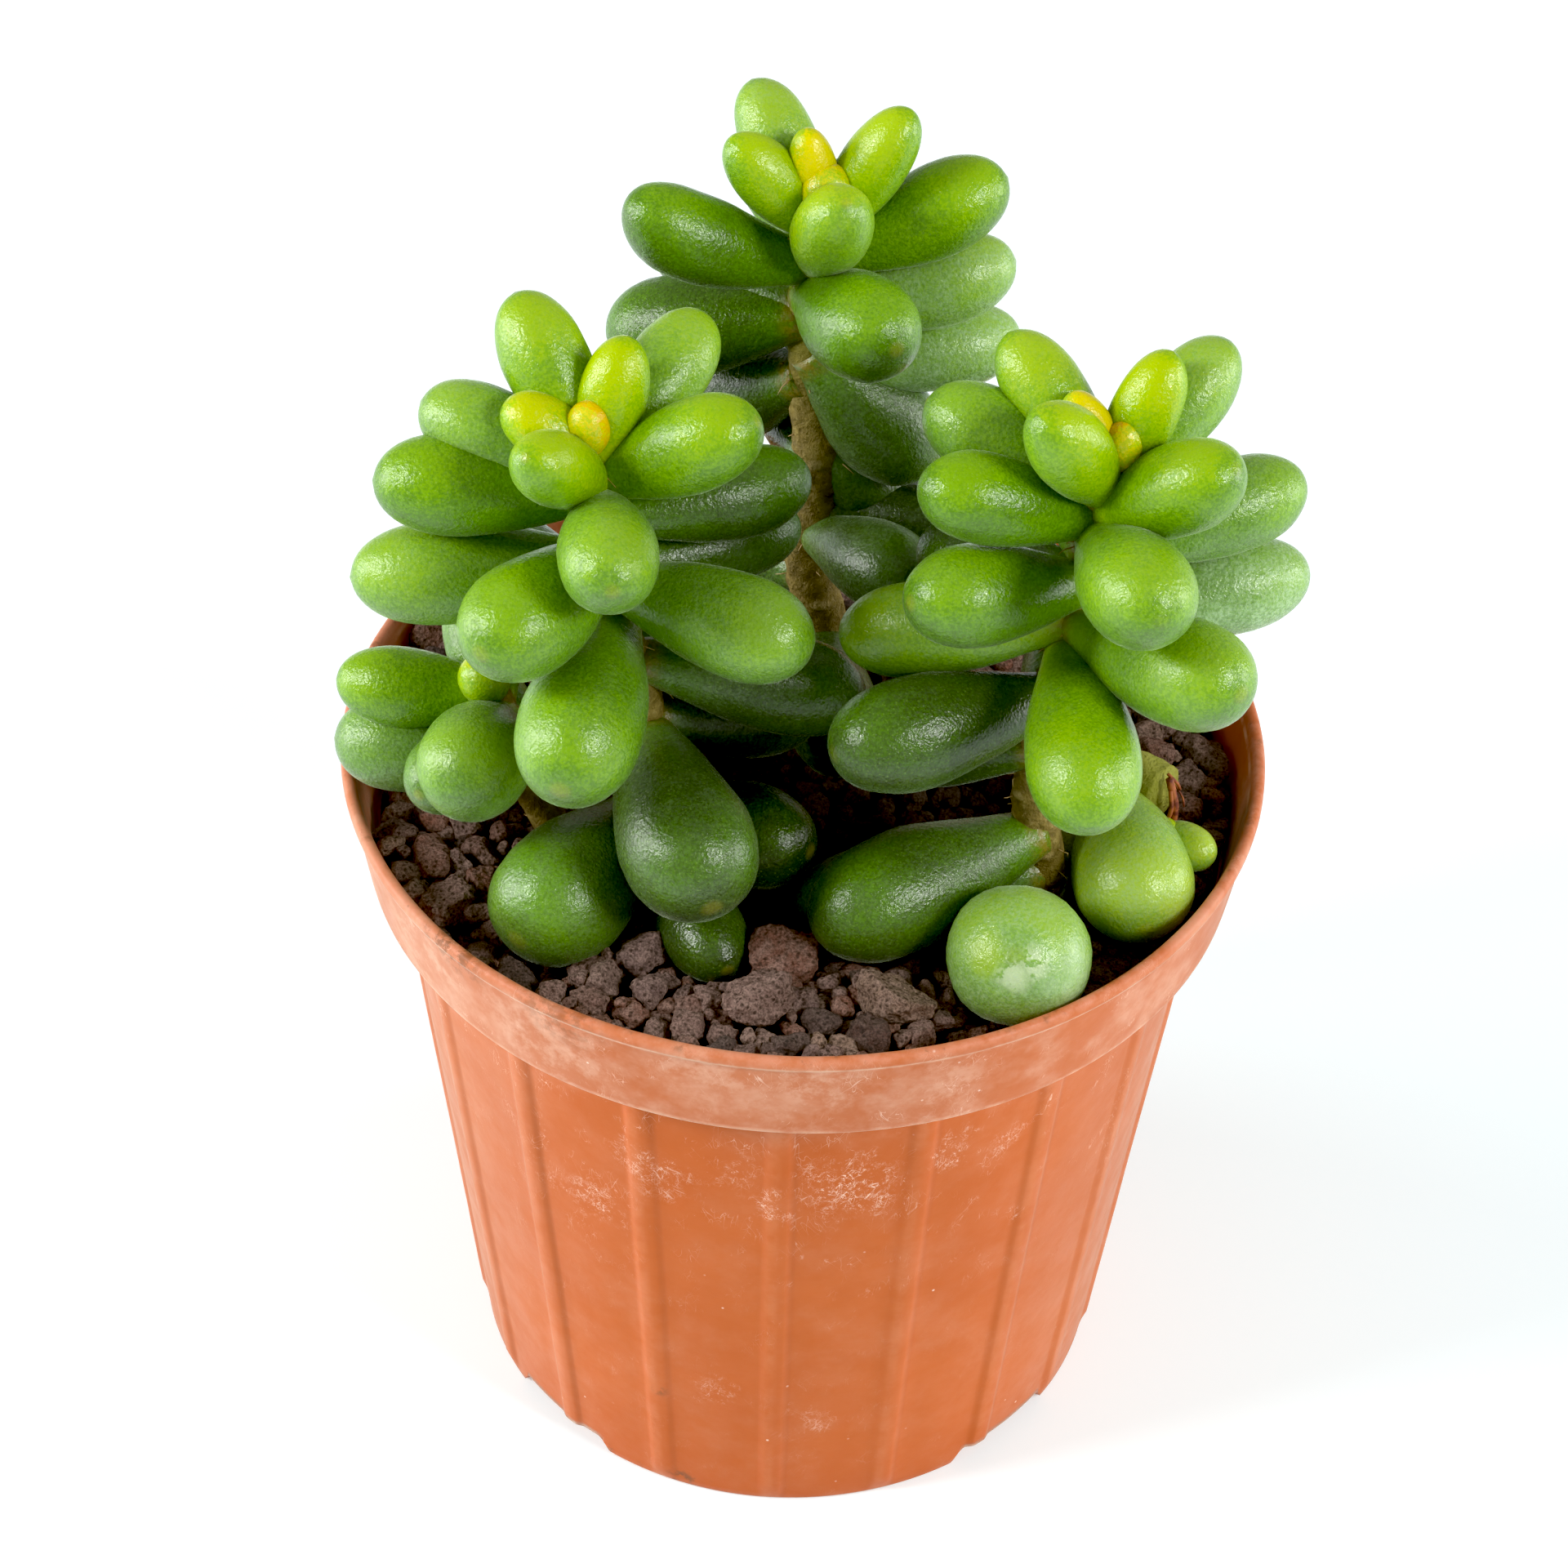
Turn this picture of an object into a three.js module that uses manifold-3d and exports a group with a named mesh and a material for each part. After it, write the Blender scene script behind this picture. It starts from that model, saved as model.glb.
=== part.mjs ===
// A small potted succulent: three leafy stems with club-shaped leaves, rooted in a
// ribbed nursery pot that is topped with lava gravel.
// Millimetres, +Z up. The origin is on the pot's axis, on the level that the pot
// stands on. The front of the plant faces -Y and its right side faces +X.
import * as THREE from "three";
import { mergeVertices } from "three/addons/utils/BufferGeometryUtils.js";
import Module from "manifold-3d";

const wasm = await Module();
wasm.setup();

// Driving dimensions of the pot
const POT_HEIGHT = 47.3;
const RIM_RADIUS = 27.6;
const LIP_HEIGHT = 0.9;
const LIP_RELIEF = 0.3;
const FOOT_RADIUS = 20;
const WALL = 0.7;
const COLLAR_BOTTOM = 40.1;
const COLLAR_LOW_RADIUS = 26.3;
const BODY_TOP_RADIUS = 24.5;
const EDGE_ROUND = 0.25;
const FOOT_HEIGHT = 1.5;
const FLOOR_THICKNESS = 1;
const SHOULDER = COLLAR_BOTTOM + WALL;
const POT_SEGMENTS = 54;

// Soft strips down the wall, drainage holes in the floor and slots between the feet
const RIB_COUNT = 18;
const RIB_WIDTH = 1.5;
const RIB_RELIEF = 0.3;
const RIB_TURN = 8.5;
const FOOT_COUNT = 4;
const SLOT_WIDTH = 7.8;
const SLOT_HEIGHT = 1.3;
const HOLE_COUNT = 5;
const HOLE_RADIUS = 1.8;
const HOLE_CIRCLE = 13;
const HOLE_SEGMENTS = 16;

// The filling: potting mix up to SOIL_TOP, and a bed of gravel over it
const GAP = 0.38;
const SOIL_TOP = 36.5;
const BED_LOW = 41.8;
const BED_RINGS = 9;
const BED_SECTORS = 32;
const BED_STEP = 0.1;
const GRAIN_LEAST = 0.8;
const GRAIN_SMALL = 1.5;
const GRAIN_LARGE = 2.5;
const GRAIN_TRIES = 150;
const GRAIN_SPACING = 0.8;
const GRAIN_LIFT = 0.45;
const GRAIN_HOLD = 0.15;
const GRAIN_STRETCH = 0.2;
const GRAIN_UNEVEN = 0.25;
const GRAIN_SEED = 41;
const BALL_SHARE = 0.08;
const BALL_STEP = 0.7;
const BALL_TOP = 52;

// Leaves are turned clubs with few sides
const LEAF_SIDES = 7;
const LEAF_STATIONS = [0, 0.3, 0.62, 0.86, 0.97];
const YOUNG_LENGTH = 6;
const GROWN_LENGTH = 13;
const WIDEST_YOUNG = 0.5;
const WIDEST_GROWN = 0.66;
const NECK_YOUNG = 0.5;
const NECK_GROWN = 0.42;
const CLUB_POWER = 1.3;
const SIDE_COUNT_SWELL = 1.05;
const STEM_SIDES = 8;
const STEM_STEPS = 3;

// The stems are given by the points that they pass through, from the root up, and
// their radius. A leaf is one row: the height of its root, its turn about the stem
// from the front towards the right, its rise over the level, its length, its
// thickness, and the bend of its tip upwards. The turns keep roughly to a spiral of
// 137.5 degrees from leaf to leaf. Lengths are in millimetres, angles in degrees.
const STEM_BACK = {
  radius: 1.5,
  points: [
    [1.3, 8.8, 22], [1.2, 8.6, 44], [1, 8.5, 49], [-0.2, 8.4, 54.5], [0.6, 8.4, 60],
    [-0.4, 8.4, 66.5], [-0.6, 8.3, 73], [0.2, 8, 79.4],
  ],
  leaves: [
    [78.4, 16, 78, 4.4, 3.3, 0], [78.4, 255, 80, 6.2, 2.8, 0], [77.8, 275, 51, 8.2, 3.8, 0],
    [77.5, 218, 46, 9.6, 4.4, 0], [77, 102, 59, 9.8, 3.9, 0], [75.6, 21, 57, 8.5, 4.6, 0],
    [76, 199, 11, 10.5, 5, 0], [75.9, 102, 22, 11.8, 5.4, 10], [75.4, 284, 27, 12.2, 5.2, 25],
    [74.6, 170, -1, 11, 5.4, 10], [73.5, 31, 13, 10, 6.2, 0], [72.4, 228, -3, 12, 5, 10],
    [72.5, 99, 11, 12.2, 5.3, 10], [71.8, 253, -19, 12.8, 6.2, 0], [69.5, 185, -5, 12.5, 5.4, 0],
    [68.8, 102, 1, 12.6, 5.3, 10], [69.6, 94, -51, 11.4, 6.4, 0], [65.5, 145, -6, 12.5, 5.4, 0],
    [67.6, 223, -36, 12.8, 6.3, 0], [62.9, 109, -52, 10, 5.4, 0], [60.9, 188, -11, 12.5, 5.8, 0],
    [58, 83, -4, 12, 5.2, 0], [56, 35, 18, 12, 5.2, 0], [52.5, 223, -14, 12, 5.2, 0],
    [48, 6, -6, 11.2, 5.6, 0],
  ],
};
const STEM_LEFT = {
  radius: 1.25,
  points: [
    [-9.4, -7, 24], [-9.4, -7.2, 44], [-9.3, -7.4, 55], [-9.7, -7.6, 59], [-10.9, -7.9, 62.5],
    [-11.5, -8.3, 70], [-11.9, -8.6, 74.2],
  ],
  leaves: [
    [74.6, 335, 79, 3.5, 2.5, 0], [74.1, 271, 36, 5.9, 3.6, 0], [73.3, 143, 69, 7.8, 3.8, 0],
    [73.4, 218, 44, 10.4, 4.8, 0], [72.8, 148, 24, 11.4, 4.8, 0], [72, 326, 43, 8.6, 4.2, 0],
    [72.4, 256, 18, 10.5, 5.2, 0], [71.5, 274, 5, 12.3, 5.6, 0], [72.4, 80, 32, 10.5, 5.2, 0],
    [69.9, 115, -4, 12.5, 5.3, 10], [71, 7, 12, 11, 5.5, 0], [66.4, 278, 0, 14.2, 5.8, 0],
    [67, 330, 7, 12.4, 6.6, 0], [65.2, 62, 1, 12.8, 6.1, 0], [62, 350, -4, 13.6, 7.1, 0],
    [59.2, 99, -18, 14, 6, 0], [53.6, 20, -10, 13.4, 7.8, 0], [47, 328, -3, 12.4, 8, 0],
    [68.6, 192, 4, 12.5, 5.4, 10], [65.8, 123, -7, 12.5, 4.6, 0], [62.4, 230, -2, 13, 5.6, 0],
    [57, 181, -8, 13, 5.6, 0], [54.5, 126, -22, 13, 5.8, 0], [47.6, 61, 9, 11.6, 6.2, 0],
    [44.8, 26, 2, 12.6, 5, 0],
  ],
};
// A short shoot from the foot of the left stem
const SHOOT_LEFT = {
  radius: 1.1,
  points: [
    [-9.5, -7.2, 41], [-11.6, -7, 43], [-14.5, -6.5, 45], [-16.8, -6, 50], [-18.2, -5.8, 55],
  ],
  leaves: [
    [54.7, 340, 62, 3.6, 3, 0], [54.6, 267, 2, 9, 4.8, 8], [53.4, 195, 20, 8.5, 4.6, 0],
    [52.8, 348, 13, 9.4, 6.5, 0], [52, 330, 9, 8.8, 5, 0], [50.4, 270, 3, 10.4, 5.8, 0],
    [49, 205, 2, 9.5, 5.2, 0],
  ],
};
const STEM_RIGHT = {
  radius: 1.25,
  points: [
    [14.6, -9, 24], [14.4, -9.4, 45], [13.2, -9.7, 51.5], [14.1, -10.2, 61], [15.3, -10.8, 68],
    [15.6, -11, 73.6], [16.4, -11.1, 76.4],
  ],
  leaves: [
    [76.2, 26, 83, 3.5, 2.3, 0], [75.2, 256, 66, 6.2, 2.9, 0], [75.4, 130, 64, 8, 3.7, 0],
    [75, 229, 40, 10, 4.4, 0], [74.5, 133, 35, 10.7, 4.6, 0], [74.6, 303, 56, 8.6, 4.4, 0],
    [74.2, 252, 21, 11, 5.2, 0], [73, 58, 41, 10.3, 5.3, 0], [72.8, 286, 22, 11, 5.1, 0],
    [71.8, 15, 14, 11.4, 6.1, 0], [71, 113, 5, 12.6, 5.4, 10], [69.6, 183, 5, 12.5, 5.4, 10],
    [68.3, 300, 14, 11.8, 5.7, 0], [68.3, 238, -13, 11, 4.8, 0], [66.6, 107, -1, 13.3, 5.4, 10],
    [65.6, 262, -14, 13.6, 5.6, 0], [65.4, 41, 14, 13.1, 6.3, 10], [63.5, 204, -8, 12.5, 5.4, 0],
    [63.6, 4, -7, 13.3, 6.4, 0], [60.5, 137, -5, 12.5, 5.4, 0], [59.6, 298, 3, 14, 6.5, 0],
    [56.5, 167, -8, 12.5, 5.6, 0], [55.4, 253, -14, 11.6, 5.2, 0], [48.6, 301, -4, 15, 7.1, 0],
    [45.6, 288, 3, 15.2, 5.7, 0],
  ],
};
// A side branch of the right stem, cut off short, and two sprouts from the same foot
const STUB_RIGHT = {
  radius: 1.7,
  points: [[14.4, -9.2, 43.5], [16.6, -5.8, 45.8], [19.2, -3.4, 47.4], [21.3, -4.7, 47.7]],
  leaves: [[46.9, 9, -6, 10.6, 7.1, 0]],
};
const SPROUT_RIGHT = {
  radius: 0.8,
  points: [[14.4, -9.3, 42.5], [18, -7.6, 44.4], [20.9, -6.4, 46]],
  leaves: [[45.9, 48, 14, 4.6, 2.9, 0], [45.9, 30, 45, 2.6, 1.8, 0]],
};
const SPROUT_FRONT = {
  radius: 1.1,
  points: [[14.4, -9.5, 41.5], [13.8, -12.2, 42.4], [12.9, -14.8, 43.4]],
  leaves: [[43.2, 353, 43, 9.8, 8.4, 0]],
};

// Where the gravel is piled up: x, y, reach and rise of each mound
const MOUNDS = [
  [0, -21, 13, 2.6], [-12, -18, 9, 2.4], [-20, -9, 8, 1.8], [21, 2, 9, 1.5], [0, 17, 17, 1.8],
  [-20, 9, 10, 3],
];
const MOUND_STEEPNESS = 1.6;

// Gravel grains placed by hand where they show best, the large ones first: x, y and
// radius
const SHOWN_GRAINS = [
  [5, -20, 2.4], [-0.5, -16.6, 2.4], [-2.5, -21.5, 2.1], [-10.5, -17, 1.8], [-21, -7.5, 1.8],
  [-19.5, -11.5, 1.8], [-14.5, -19, 1.6], [23, 3.5, 1.6], [-24, 10.5, 1.6], [-8.5, -16, 1.4],
  [-8, -19, 1.4], [-5, -18.5, 1.4], [3.5, -22.5, 1.4], [-22, -11, 1.4], [25, -1, 1.4],
  [-12.5, -20, 1.3], [-6, -22, 1.3], [-0.5, -19.5, 1.3], [1, -21.5, 1.3], [-18.5, -6.5, 1.3],
  [-25, -2.5, 1.3], [25, 1.5, 1.3], [-0.5, -23.5, 1.2], [-23, -9, 1.2], [-22.5, -1.5, 1.2],
  [24.5, 9.5, 1.2],
];

const PLASTIC = { color: 0xc8683f, roughness: 0.5, metalness: 0 };
const SOIL = { color: 0x2b211c, roughness: 1, metalness: 0 };
const LAVA = { color: 0x6e5048, roughness: 0.95, metalness: 0 };
const LEAF = { color: 0x5f9a24, roughness: 0.4, metalness: 0 };

// Turns a closed three.js geometry into a solid that can be joined and cut
function solid(geometry) {
  const bare = geometry.clone();
  bare.deleteAttribute("normal");
  bare.deleteAttribute("uv");
  const merged = mergeVertices(bare, 1e-4);
  const triangles = [];
  for (let i = 0; i < merged.index.count; i += 3) {
    const [a, b, c] = [0, 1, 2].map((k) => merged.index.getX(i + k));
    if (a !== b && b !== c && c !== a) triangles.push(a, b, c);
  }
  const mesh = new wasm.Mesh({
    numProp: 3,
    vertProperties: new Float32Array(merged.attributes.position.array),
    triVerts: new Uint32Array(triangles),
  });
  mesh.merge();
  return new wasm.Manifold(mesh);
}

// Turns a solid back into a named mesh of the part, with a material of its own
function meshOf(name, body, look) {
  const out = body.getMesh();
  const geometry = new THREE.BufferGeometry();
  geometry.setAttribute("position", new THREE.BufferAttribute(new Float32Array(out.vertProperties), 3));
  geometry.setIndex(new THREE.BufferAttribute(new Uint32Array(out.triVerts), 1));
  const flat = geometry.toNonIndexed();
  flat.computeVertexNormals();
  const mesh = new THREE.Mesh(flat, new THREE.MeshStandardMaterial(look));
  mesh.name = name;
  return mesh;
}

// A solid turned about the Z axis from a profile of [radius, height] points
function turned(profile, segments) {
  const geometry = new THREE.LatheGeometry(profile.map(([r, z]) => new THREE.Vector2(r, z)), segments);
  return geometry.rotateX(Math.PI / 2);
}

const radians = THREE.MathUtils.degToRad;
const smooth = THREE.MathUtils.smoothstep;

// Outer radius of the pot's body at a height, and the radius inside the wall
function bodyRadius(z) {
  return THREE.MathUtils.mapLinear(z, 0, COLLAR_BOTTOM, FOOT_RADIUS, BODY_TOP_RADIUS);
}

function insideRadius(z) {
  return bodyRadius(z) - WALL;
}

// Free space between a point in the collar and the pot's wall and shoulder
function potClearance(point) {
  const out = Math.hypot(point.x, point.y);
  const upTheCollar = (point.z - COLLAR_BOTTOM) / (POT_HEIGHT - COLLAR_BOTTOM);
  const inside = THREE.MathUtils.lerp(COLLAR_LOW_RADIUS, RIM_RADIUS, upTheCollar) - WALL;
  const toShoulder = Math.max(point.z - SHOULDER, insideRadius(COLLAR_BOTTOM) - out);
  return Math.min(inside - out, toShoulder);
}

function potSolid() {
  const floorTop = FOOT_HEIGHT + FLOOR_THICKNESS;
  const lipBottom = POT_HEIGHT - LIP_HEIGHT;
  const profile = [
    [0, FOOT_HEIGHT],
    [FOOT_RADIUS - 2 * WALL, FOOT_HEIGHT],
    [FOOT_RADIUS - 2 * WALL, 0],
    [FOOT_RADIUS, 0],
    [bodyRadius(COLLAR_BOTTOM), COLLAR_BOTTOM],
    [COLLAR_LOW_RADIUS, COLLAR_BOTTOM],
    [RIM_RADIUS - LIP_RELIEF, lipBottom],
    [RIM_RADIUS, lipBottom + EDGE_ROUND],
    [RIM_RADIUS, POT_HEIGHT - EDGE_ROUND],
    [RIM_RADIUS - EDGE_ROUND, POT_HEIGHT],
    [RIM_RADIUS - WALL, POT_HEIGHT],
    [COLLAR_LOW_RADIUS - WALL, SHOULDER],
    [insideRadius(COLLAR_BOTTOM), SHOULDER],
    [insideRadius(floorTop), floorTop],
    [0, floorTop],
  ];
  let body = solid(turned(profile, POT_SEGMENTS).rotateZ(radians(RIB_TURN)));
  const slope = Math.atan2(BODY_TOP_RADIUS - FOOT_RADIUS, COLLAR_BOTTOM);
  for (let i = 0; i < RIB_COUNT; i++) {
    const length = (COLLAR_BOTTOM - 2 * EDGE_ROUND) / Math.cos(slope);
    const rib = new THREE.BoxGeometry(WALL, RIB_WIDTH, length);
    rib.rotateY(slope);
    rib.translate(bodyRadius(COLLAR_BOTTOM / 2) + RIB_RELIEF - WALL / 2, 0, COLLAR_BOTTOM / 2 + EDGE_ROUND);
    rib.rotateZ(radians((360 / RIB_COUNT) * i + RIB_TURN));
    body = body.add(solid(rib));
  }
  for (let i = 0; i < FOOT_COUNT; i++) {
    const slot = new THREE.BoxGeometry(4 * FOOT_HEIGHT, SLOT_WIDTH, 2 * SLOT_HEIGHT);
    slot.translate(FOOT_RADIUS, 0, 0);
    slot.rotateZ(radians((360 / FOOT_COUNT) * (i + 0.5)));
    body = body.subtract(solid(slot));
  }
  for (let i = 0; i < HOLE_COUNT; i++) {
    const hole = new THREE.CylinderGeometry(HOLE_RADIUS, HOLE_RADIUS, 4 * FLOOR_THICKNESS, HOLE_SEGMENTS);
    hole.rotateX(Math.PI / 2);
    hole.translate(HOLE_CIRCLE, 0, FOOT_HEIGHT);
    hole.rotateZ(radians((360 / HOLE_COUNT) * i - 90));
    body = body.subtract(solid(hole));
  }
  return body;
}

// The point of a stem at a height, between the points that it passes through
function stemPoint(stem, z) {
  const points = stem.points;
  let i = 1;
  while (i < points.length - 1 && points[i][2] < z) i++;
  const low = new THREE.Vector3(...points[i - 1]);
  const high = new THREE.Vector3(...points[i]);
  return low.lerp(high, (z - points[i - 1][2]) / (points[i][2] - points[i - 1][2]));
}

// A round rod along a smooth curve through the points
function rodSolid(points, radius) {
  const corners = [];
  for (let i = 0; i < STEM_SIDES; i++) {
    const angle = (2 * Math.PI * i) / STEM_SIDES;
    corners.push(new THREE.Vector2(radius * Math.cos(angle), radius * Math.sin(angle)));
  }
  const path = new THREE.CatmullRomCurve3(points.map((p) => new THREE.Vector3(...p)));
  const steps = STEM_STEPS * (points.length - 1);
  const options = { steps, bevelEnabled: false, extrudePath: path };
  return solid(new THREE.ExtrudeGeometry(new THREE.Shape(corners), options));
}

function stemSolid(stem) {
  return rodSolid(stem.points, stem.radius);
}

// The hole that a stem stands in is wider all round and a little deeper
function stemHole(stem) {
  const [[x, y, z], ...rest] = stem.points;
  return rodSolid([[x, y, z - GAP], ...rest], stem.radius + GAP);
}

// Half width of a leaf at a share of its length, as a share of its greatest half
// width: young leaves are widest in the middle, grown ones nearer to the tip
function leafProfile(share, length) {
  const age = smooth(length, YOUNG_LENGTH, GROWN_LENGTH);
  const widest = THREE.MathUtils.lerp(WIDEST_YOUNG, WIDEST_GROWN, age);
  const neck = THREE.MathUtils.lerp(NECK_YOUNG, NECK_GROWN, age);
  if (share < widest) return neck + (1 - neck) * Math.sin((Math.PI / 2) * (share / widest)) ** CLUB_POWER;
  return Math.sqrt(1 - ((share - widest) / (1 - widest)) ** 2);
}

// Root, direction, sideways and upwards vectors of a leaf, and the sag of its middle
function leafFrame(stem, [height, turn, rise, length, , curl]) {
  const [t, r] = [radians(turn), radians(rise)];
  return {
    root: stemPoint(stem, height),
    along: new THREE.Vector3(Math.sin(t) * Math.cos(r), -Math.cos(t) * Math.cos(r), Math.sin(r)),
    side: new THREE.Vector3(-Math.cos(t), -Math.sin(t), 0),
    up: new THREE.Vector3(-Math.sin(t) * Math.sin(r), Math.cos(t) * Math.sin(r), Math.cos(r)),
    sag: (Math.tan(radians(curl) / 4) / 2) * length,
  };
}

function leafSolid(stem, row) {
  const [, , , length, thickness] = row;
  const half = (thickness / 2) * SIDE_COUNT_SWELL;
  const rings = LEAF_STATIONS.map((s) => new THREE.Vector2(half * leafProfile(s, length), s * length));
  const profile = [new THREE.Vector2(0, 0), ...rings, new THREE.Vector2(0, length)];
  const geometry = new THREE.LatheGeometry(profile, LEAF_SIDES);
  const { root, along, side, up, sag } = leafFrame(stem, row);
  const place = geometry.attributes.position;
  for (let i = 0; i < place.count; i++) {
    const share = place.getY(i) / length;
    place.setZ(i, place.getZ(i) - 4 * share * (1 - share) * sag);
  }
  geometry.applyMatrix4(new THREE.Matrix4().makeBasis(side, along, up).setPosition(root));
  return solid(geometry);
}

function leafyStem(parts) {
  let body = null;
  for (const stem of parts) {
    const pieces = [stemSolid(stem), ...stem.leaves.map((row) => leafSolid(stem, row))];
    for (const piece of pieces) body = body ? body.add(piece) : piece;
  }
  return body;
}

const BACK = [STEM_BACK];
const LEFT = [STEM_LEFT, SHOOT_LEFT];
const RIGHT = [STEM_RIGHT, STUB_RIGHT, SPROUT_RIGHT, SPROUT_FRONT];
const ALL_STEMS = [...BACK, ...LEFT, ...RIGHT];

// Balls along every leaf and stem, which the gravel keeps clear of
function plantBalls() {
  const balls = [];
  for (const stem of ALL_STEMS) {
    for (const row of stem.leaves) {
      const { root, along, up, sag } = leafFrame(stem, row);
      for (let share = 0; share <= 1; share += BALL_SHARE) {
        const centre = root.clone().addScaledVector(along, share * row[3]);
        centre.addScaledVector(up, -4 * share * (1 - share) * sag);
        balls.push({ centre, radius: (row[4] / 2) * SIDE_COUNT_SWELL * leafProfile(share, row[3]) });
      }
    }
    const top = Math.min(BALL_TOP, stem.points[stem.points.length - 1][2]);
    for (let z = stem.points[0][2]; z < top; z += BALL_STEP) {
      balls.push({ centre: stemPoint(stem, z), radius: stem.radius });
    }
  }
  return balls;
}

const BALLS = plantBalls();

// Free space between a point and the nearest leaf or stem
function clearance(point) {
  let least = Infinity;
  for (const ball of BALLS) least = Math.min(least, point.distanceTo(ball.centre) - ball.radius);
  return least;
}

// Height of the bed: piled up in mounds, and kept under the leaves that lie on it
function bedHeight(x, y) {
  let rise = 0;
  for (const [moundX, moundY, reach, height] of MOUNDS) {
    const nearness = 1 - Math.hypot(x - moundX, y - moundY) / reach;
    rise = Math.max(rise, height * smooth(MOUND_STEEPNESS * nearness, 0, 1));
  }
  const point = new THREE.Vector3(x, y, BED_LOW + rise);
  while (point.z > SHOULDER + 2 * GAP && clearance(point) < 3 * GAP) point.z -= BED_STEP;
  return point.z;
}

// The bed fills the pot over the soil, and spreads over the shoulder into the collar
function bedSolid() {
  const bottom = SOIL_TOP + GAP;
  const edge = COLLAR_LOW_RADIUS - WALL - GAP;
  const profile = [
    [0, bottom],
    [insideRadius(bottom) - GAP, bottom],
    [insideRadius(COLLAR_BOTTOM) - GAP, SHOULDER + GAP],
    [edge, SHOULDER + GAP],
  ];
  for (let i = BED_RINGS; i >= 0; i--) profile.push([(edge * i) / BED_RINGS, BED_LOW]);
  const geometry = turned(profile, BED_SECTORS);
  const place = geometry.attributes.position;
  for (let i = 0; i < place.count; i++) {
    if (place.getZ(i) > BED_LOW - 1e-3) place.setZ(i, bedHeight(place.getX(i), place.getY(i)));
  }
  return solid(geometry);
}

// Repeatable random numbers from 0 to 1
function randomFrom(seed) {
  let state = seed;
  return () => {
    state = (state * 1664525 + 1013904223) % 4294967296;
    return state / 4294967296;
  };
}

// A grain of gravel: a lump with uneven corners, none of them beyond its radius
function grainShape(radius, random) {
  const ball = new THREE.IcosahedronGeometry(radius, 0);
  const geometry = mergeVertices(ball.deleteAttribute("uv").deleteAttribute("normal"));
  const stretch = [0, 0, 0].map(() => 1 - GRAIN_STRETCH * random());
  const place = geometry.attributes.position;
  for (let i = 0; i < place.count; i++) {
    const grow = 1 - GRAIN_UNEVEN * random();
    place.setX(i, place.getX(i) * stretch[0] * grow);
    place.setY(i, place.getY(i) * stretch[1] * grow);
    place.setZ(i, place.getZ(i) * stretch[2] * grow);
  }
  geometry.rotateX(2 * Math.PI * random());
  return geometry.rotateZ(2 * Math.PI * random());
}

// Joins a grain to the bed, lowered until the bed holds it
function addGrain(body, centre, radius, random) {
  const shape = grainShape(radius, random);
  const place = centre.clone();
  while (potClearance(place) > radius + GAP) {
    const grain = solid(shape.clone().translate(place.x, place.y, place.z));
    if (body.intersect(grain).volume() > GRAIN_HOLD * radius ** 3) return body.add(grain);
    place.z -= GRAIN_LEAST / 2;
  }
  return body;
}

function gravelSolid() {
  const random = randomFrom(GRAIN_SEED);
  const grains = [];
  const place = (x, y, wished) => {
    const bed = bedHeight(x, y);
    const centre = new THREE.Vector3(x, y, bed + GRAIN_LIFT * wished);
    const radius = Math.min(wished, clearance(centre) - GAP, potClearance(centre) - GAP);
    if (radius < GRAIN_LEAST) return;
    centre.z = bed + GRAIN_LIFT * radius;
    for (const other of grains) {
      if (centre.distanceTo(other.centre) < GRAIN_SPACING * (radius + other.radius)) return;
    }
    grains.push({ centre, radius });
  };
  for (const [x, y, radius] of SHOWN_GRAINS) place(x, y, radius);
  for (let i = 0; i < GRAIN_TRIES; i++) {
    const angle = 2 * Math.PI * random();
    const out = COLLAR_LOW_RADIUS * Math.sqrt(random());
    const radius = GRAIN_SMALL + (GRAIN_LARGE - GRAIN_SMALL) * random() ** 2;
    place(out * Math.cos(angle), out * Math.sin(angle), radius);
  }
  let body = bedSolid();
  for (const stem of ALL_STEMS) body = body.subtract(stemHole(stem));
  for (const { centre, radius } of grains) body = addGrain(body, centre, radius, random);
  return body;
}

function soilSolid() {
  const bottom = FOOT_HEIGHT + FLOOR_THICKNESS + GAP;
  const profile = [
    [0, bottom],
    [insideRadius(bottom) - GAP, bottom],
    [insideRadius(SOIL_TOP) - GAP, SOIL_TOP],
    [0, SOIL_TOP],
  ];
  let body = solid(turned(profile, POT_SEGMENTS / 2));
  for (const stem of [STEM_BACK, STEM_LEFT, STEM_RIGHT]) body = body.subtract(stemHole(stem));
  return body;
}

const plant = new THREE.Group();
plant.add(meshOf("pot", potSolid(), PLASTIC));
plant.add(meshOf("soil", soilSolid(), SOIL));
plant.add(meshOf("gravel", gravelSolid(), LAVA));
plant.add(meshOf("stem_back", leafyStem(BACK), LEAF));
plant.add(meshOf("stem_left", leafyStem(LEFT), LEAF));
plant.add(meshOf("stem_right", leafyStem(RIGHT), LEAF));

export default plant;
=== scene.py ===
"""A potted club-leaved sedum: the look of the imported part, in metres, +Z up."""

import functools
import math
import random

import bmesh
import bpy
import numpy as np
from mathutils import Matrix, Vector, noise


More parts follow.
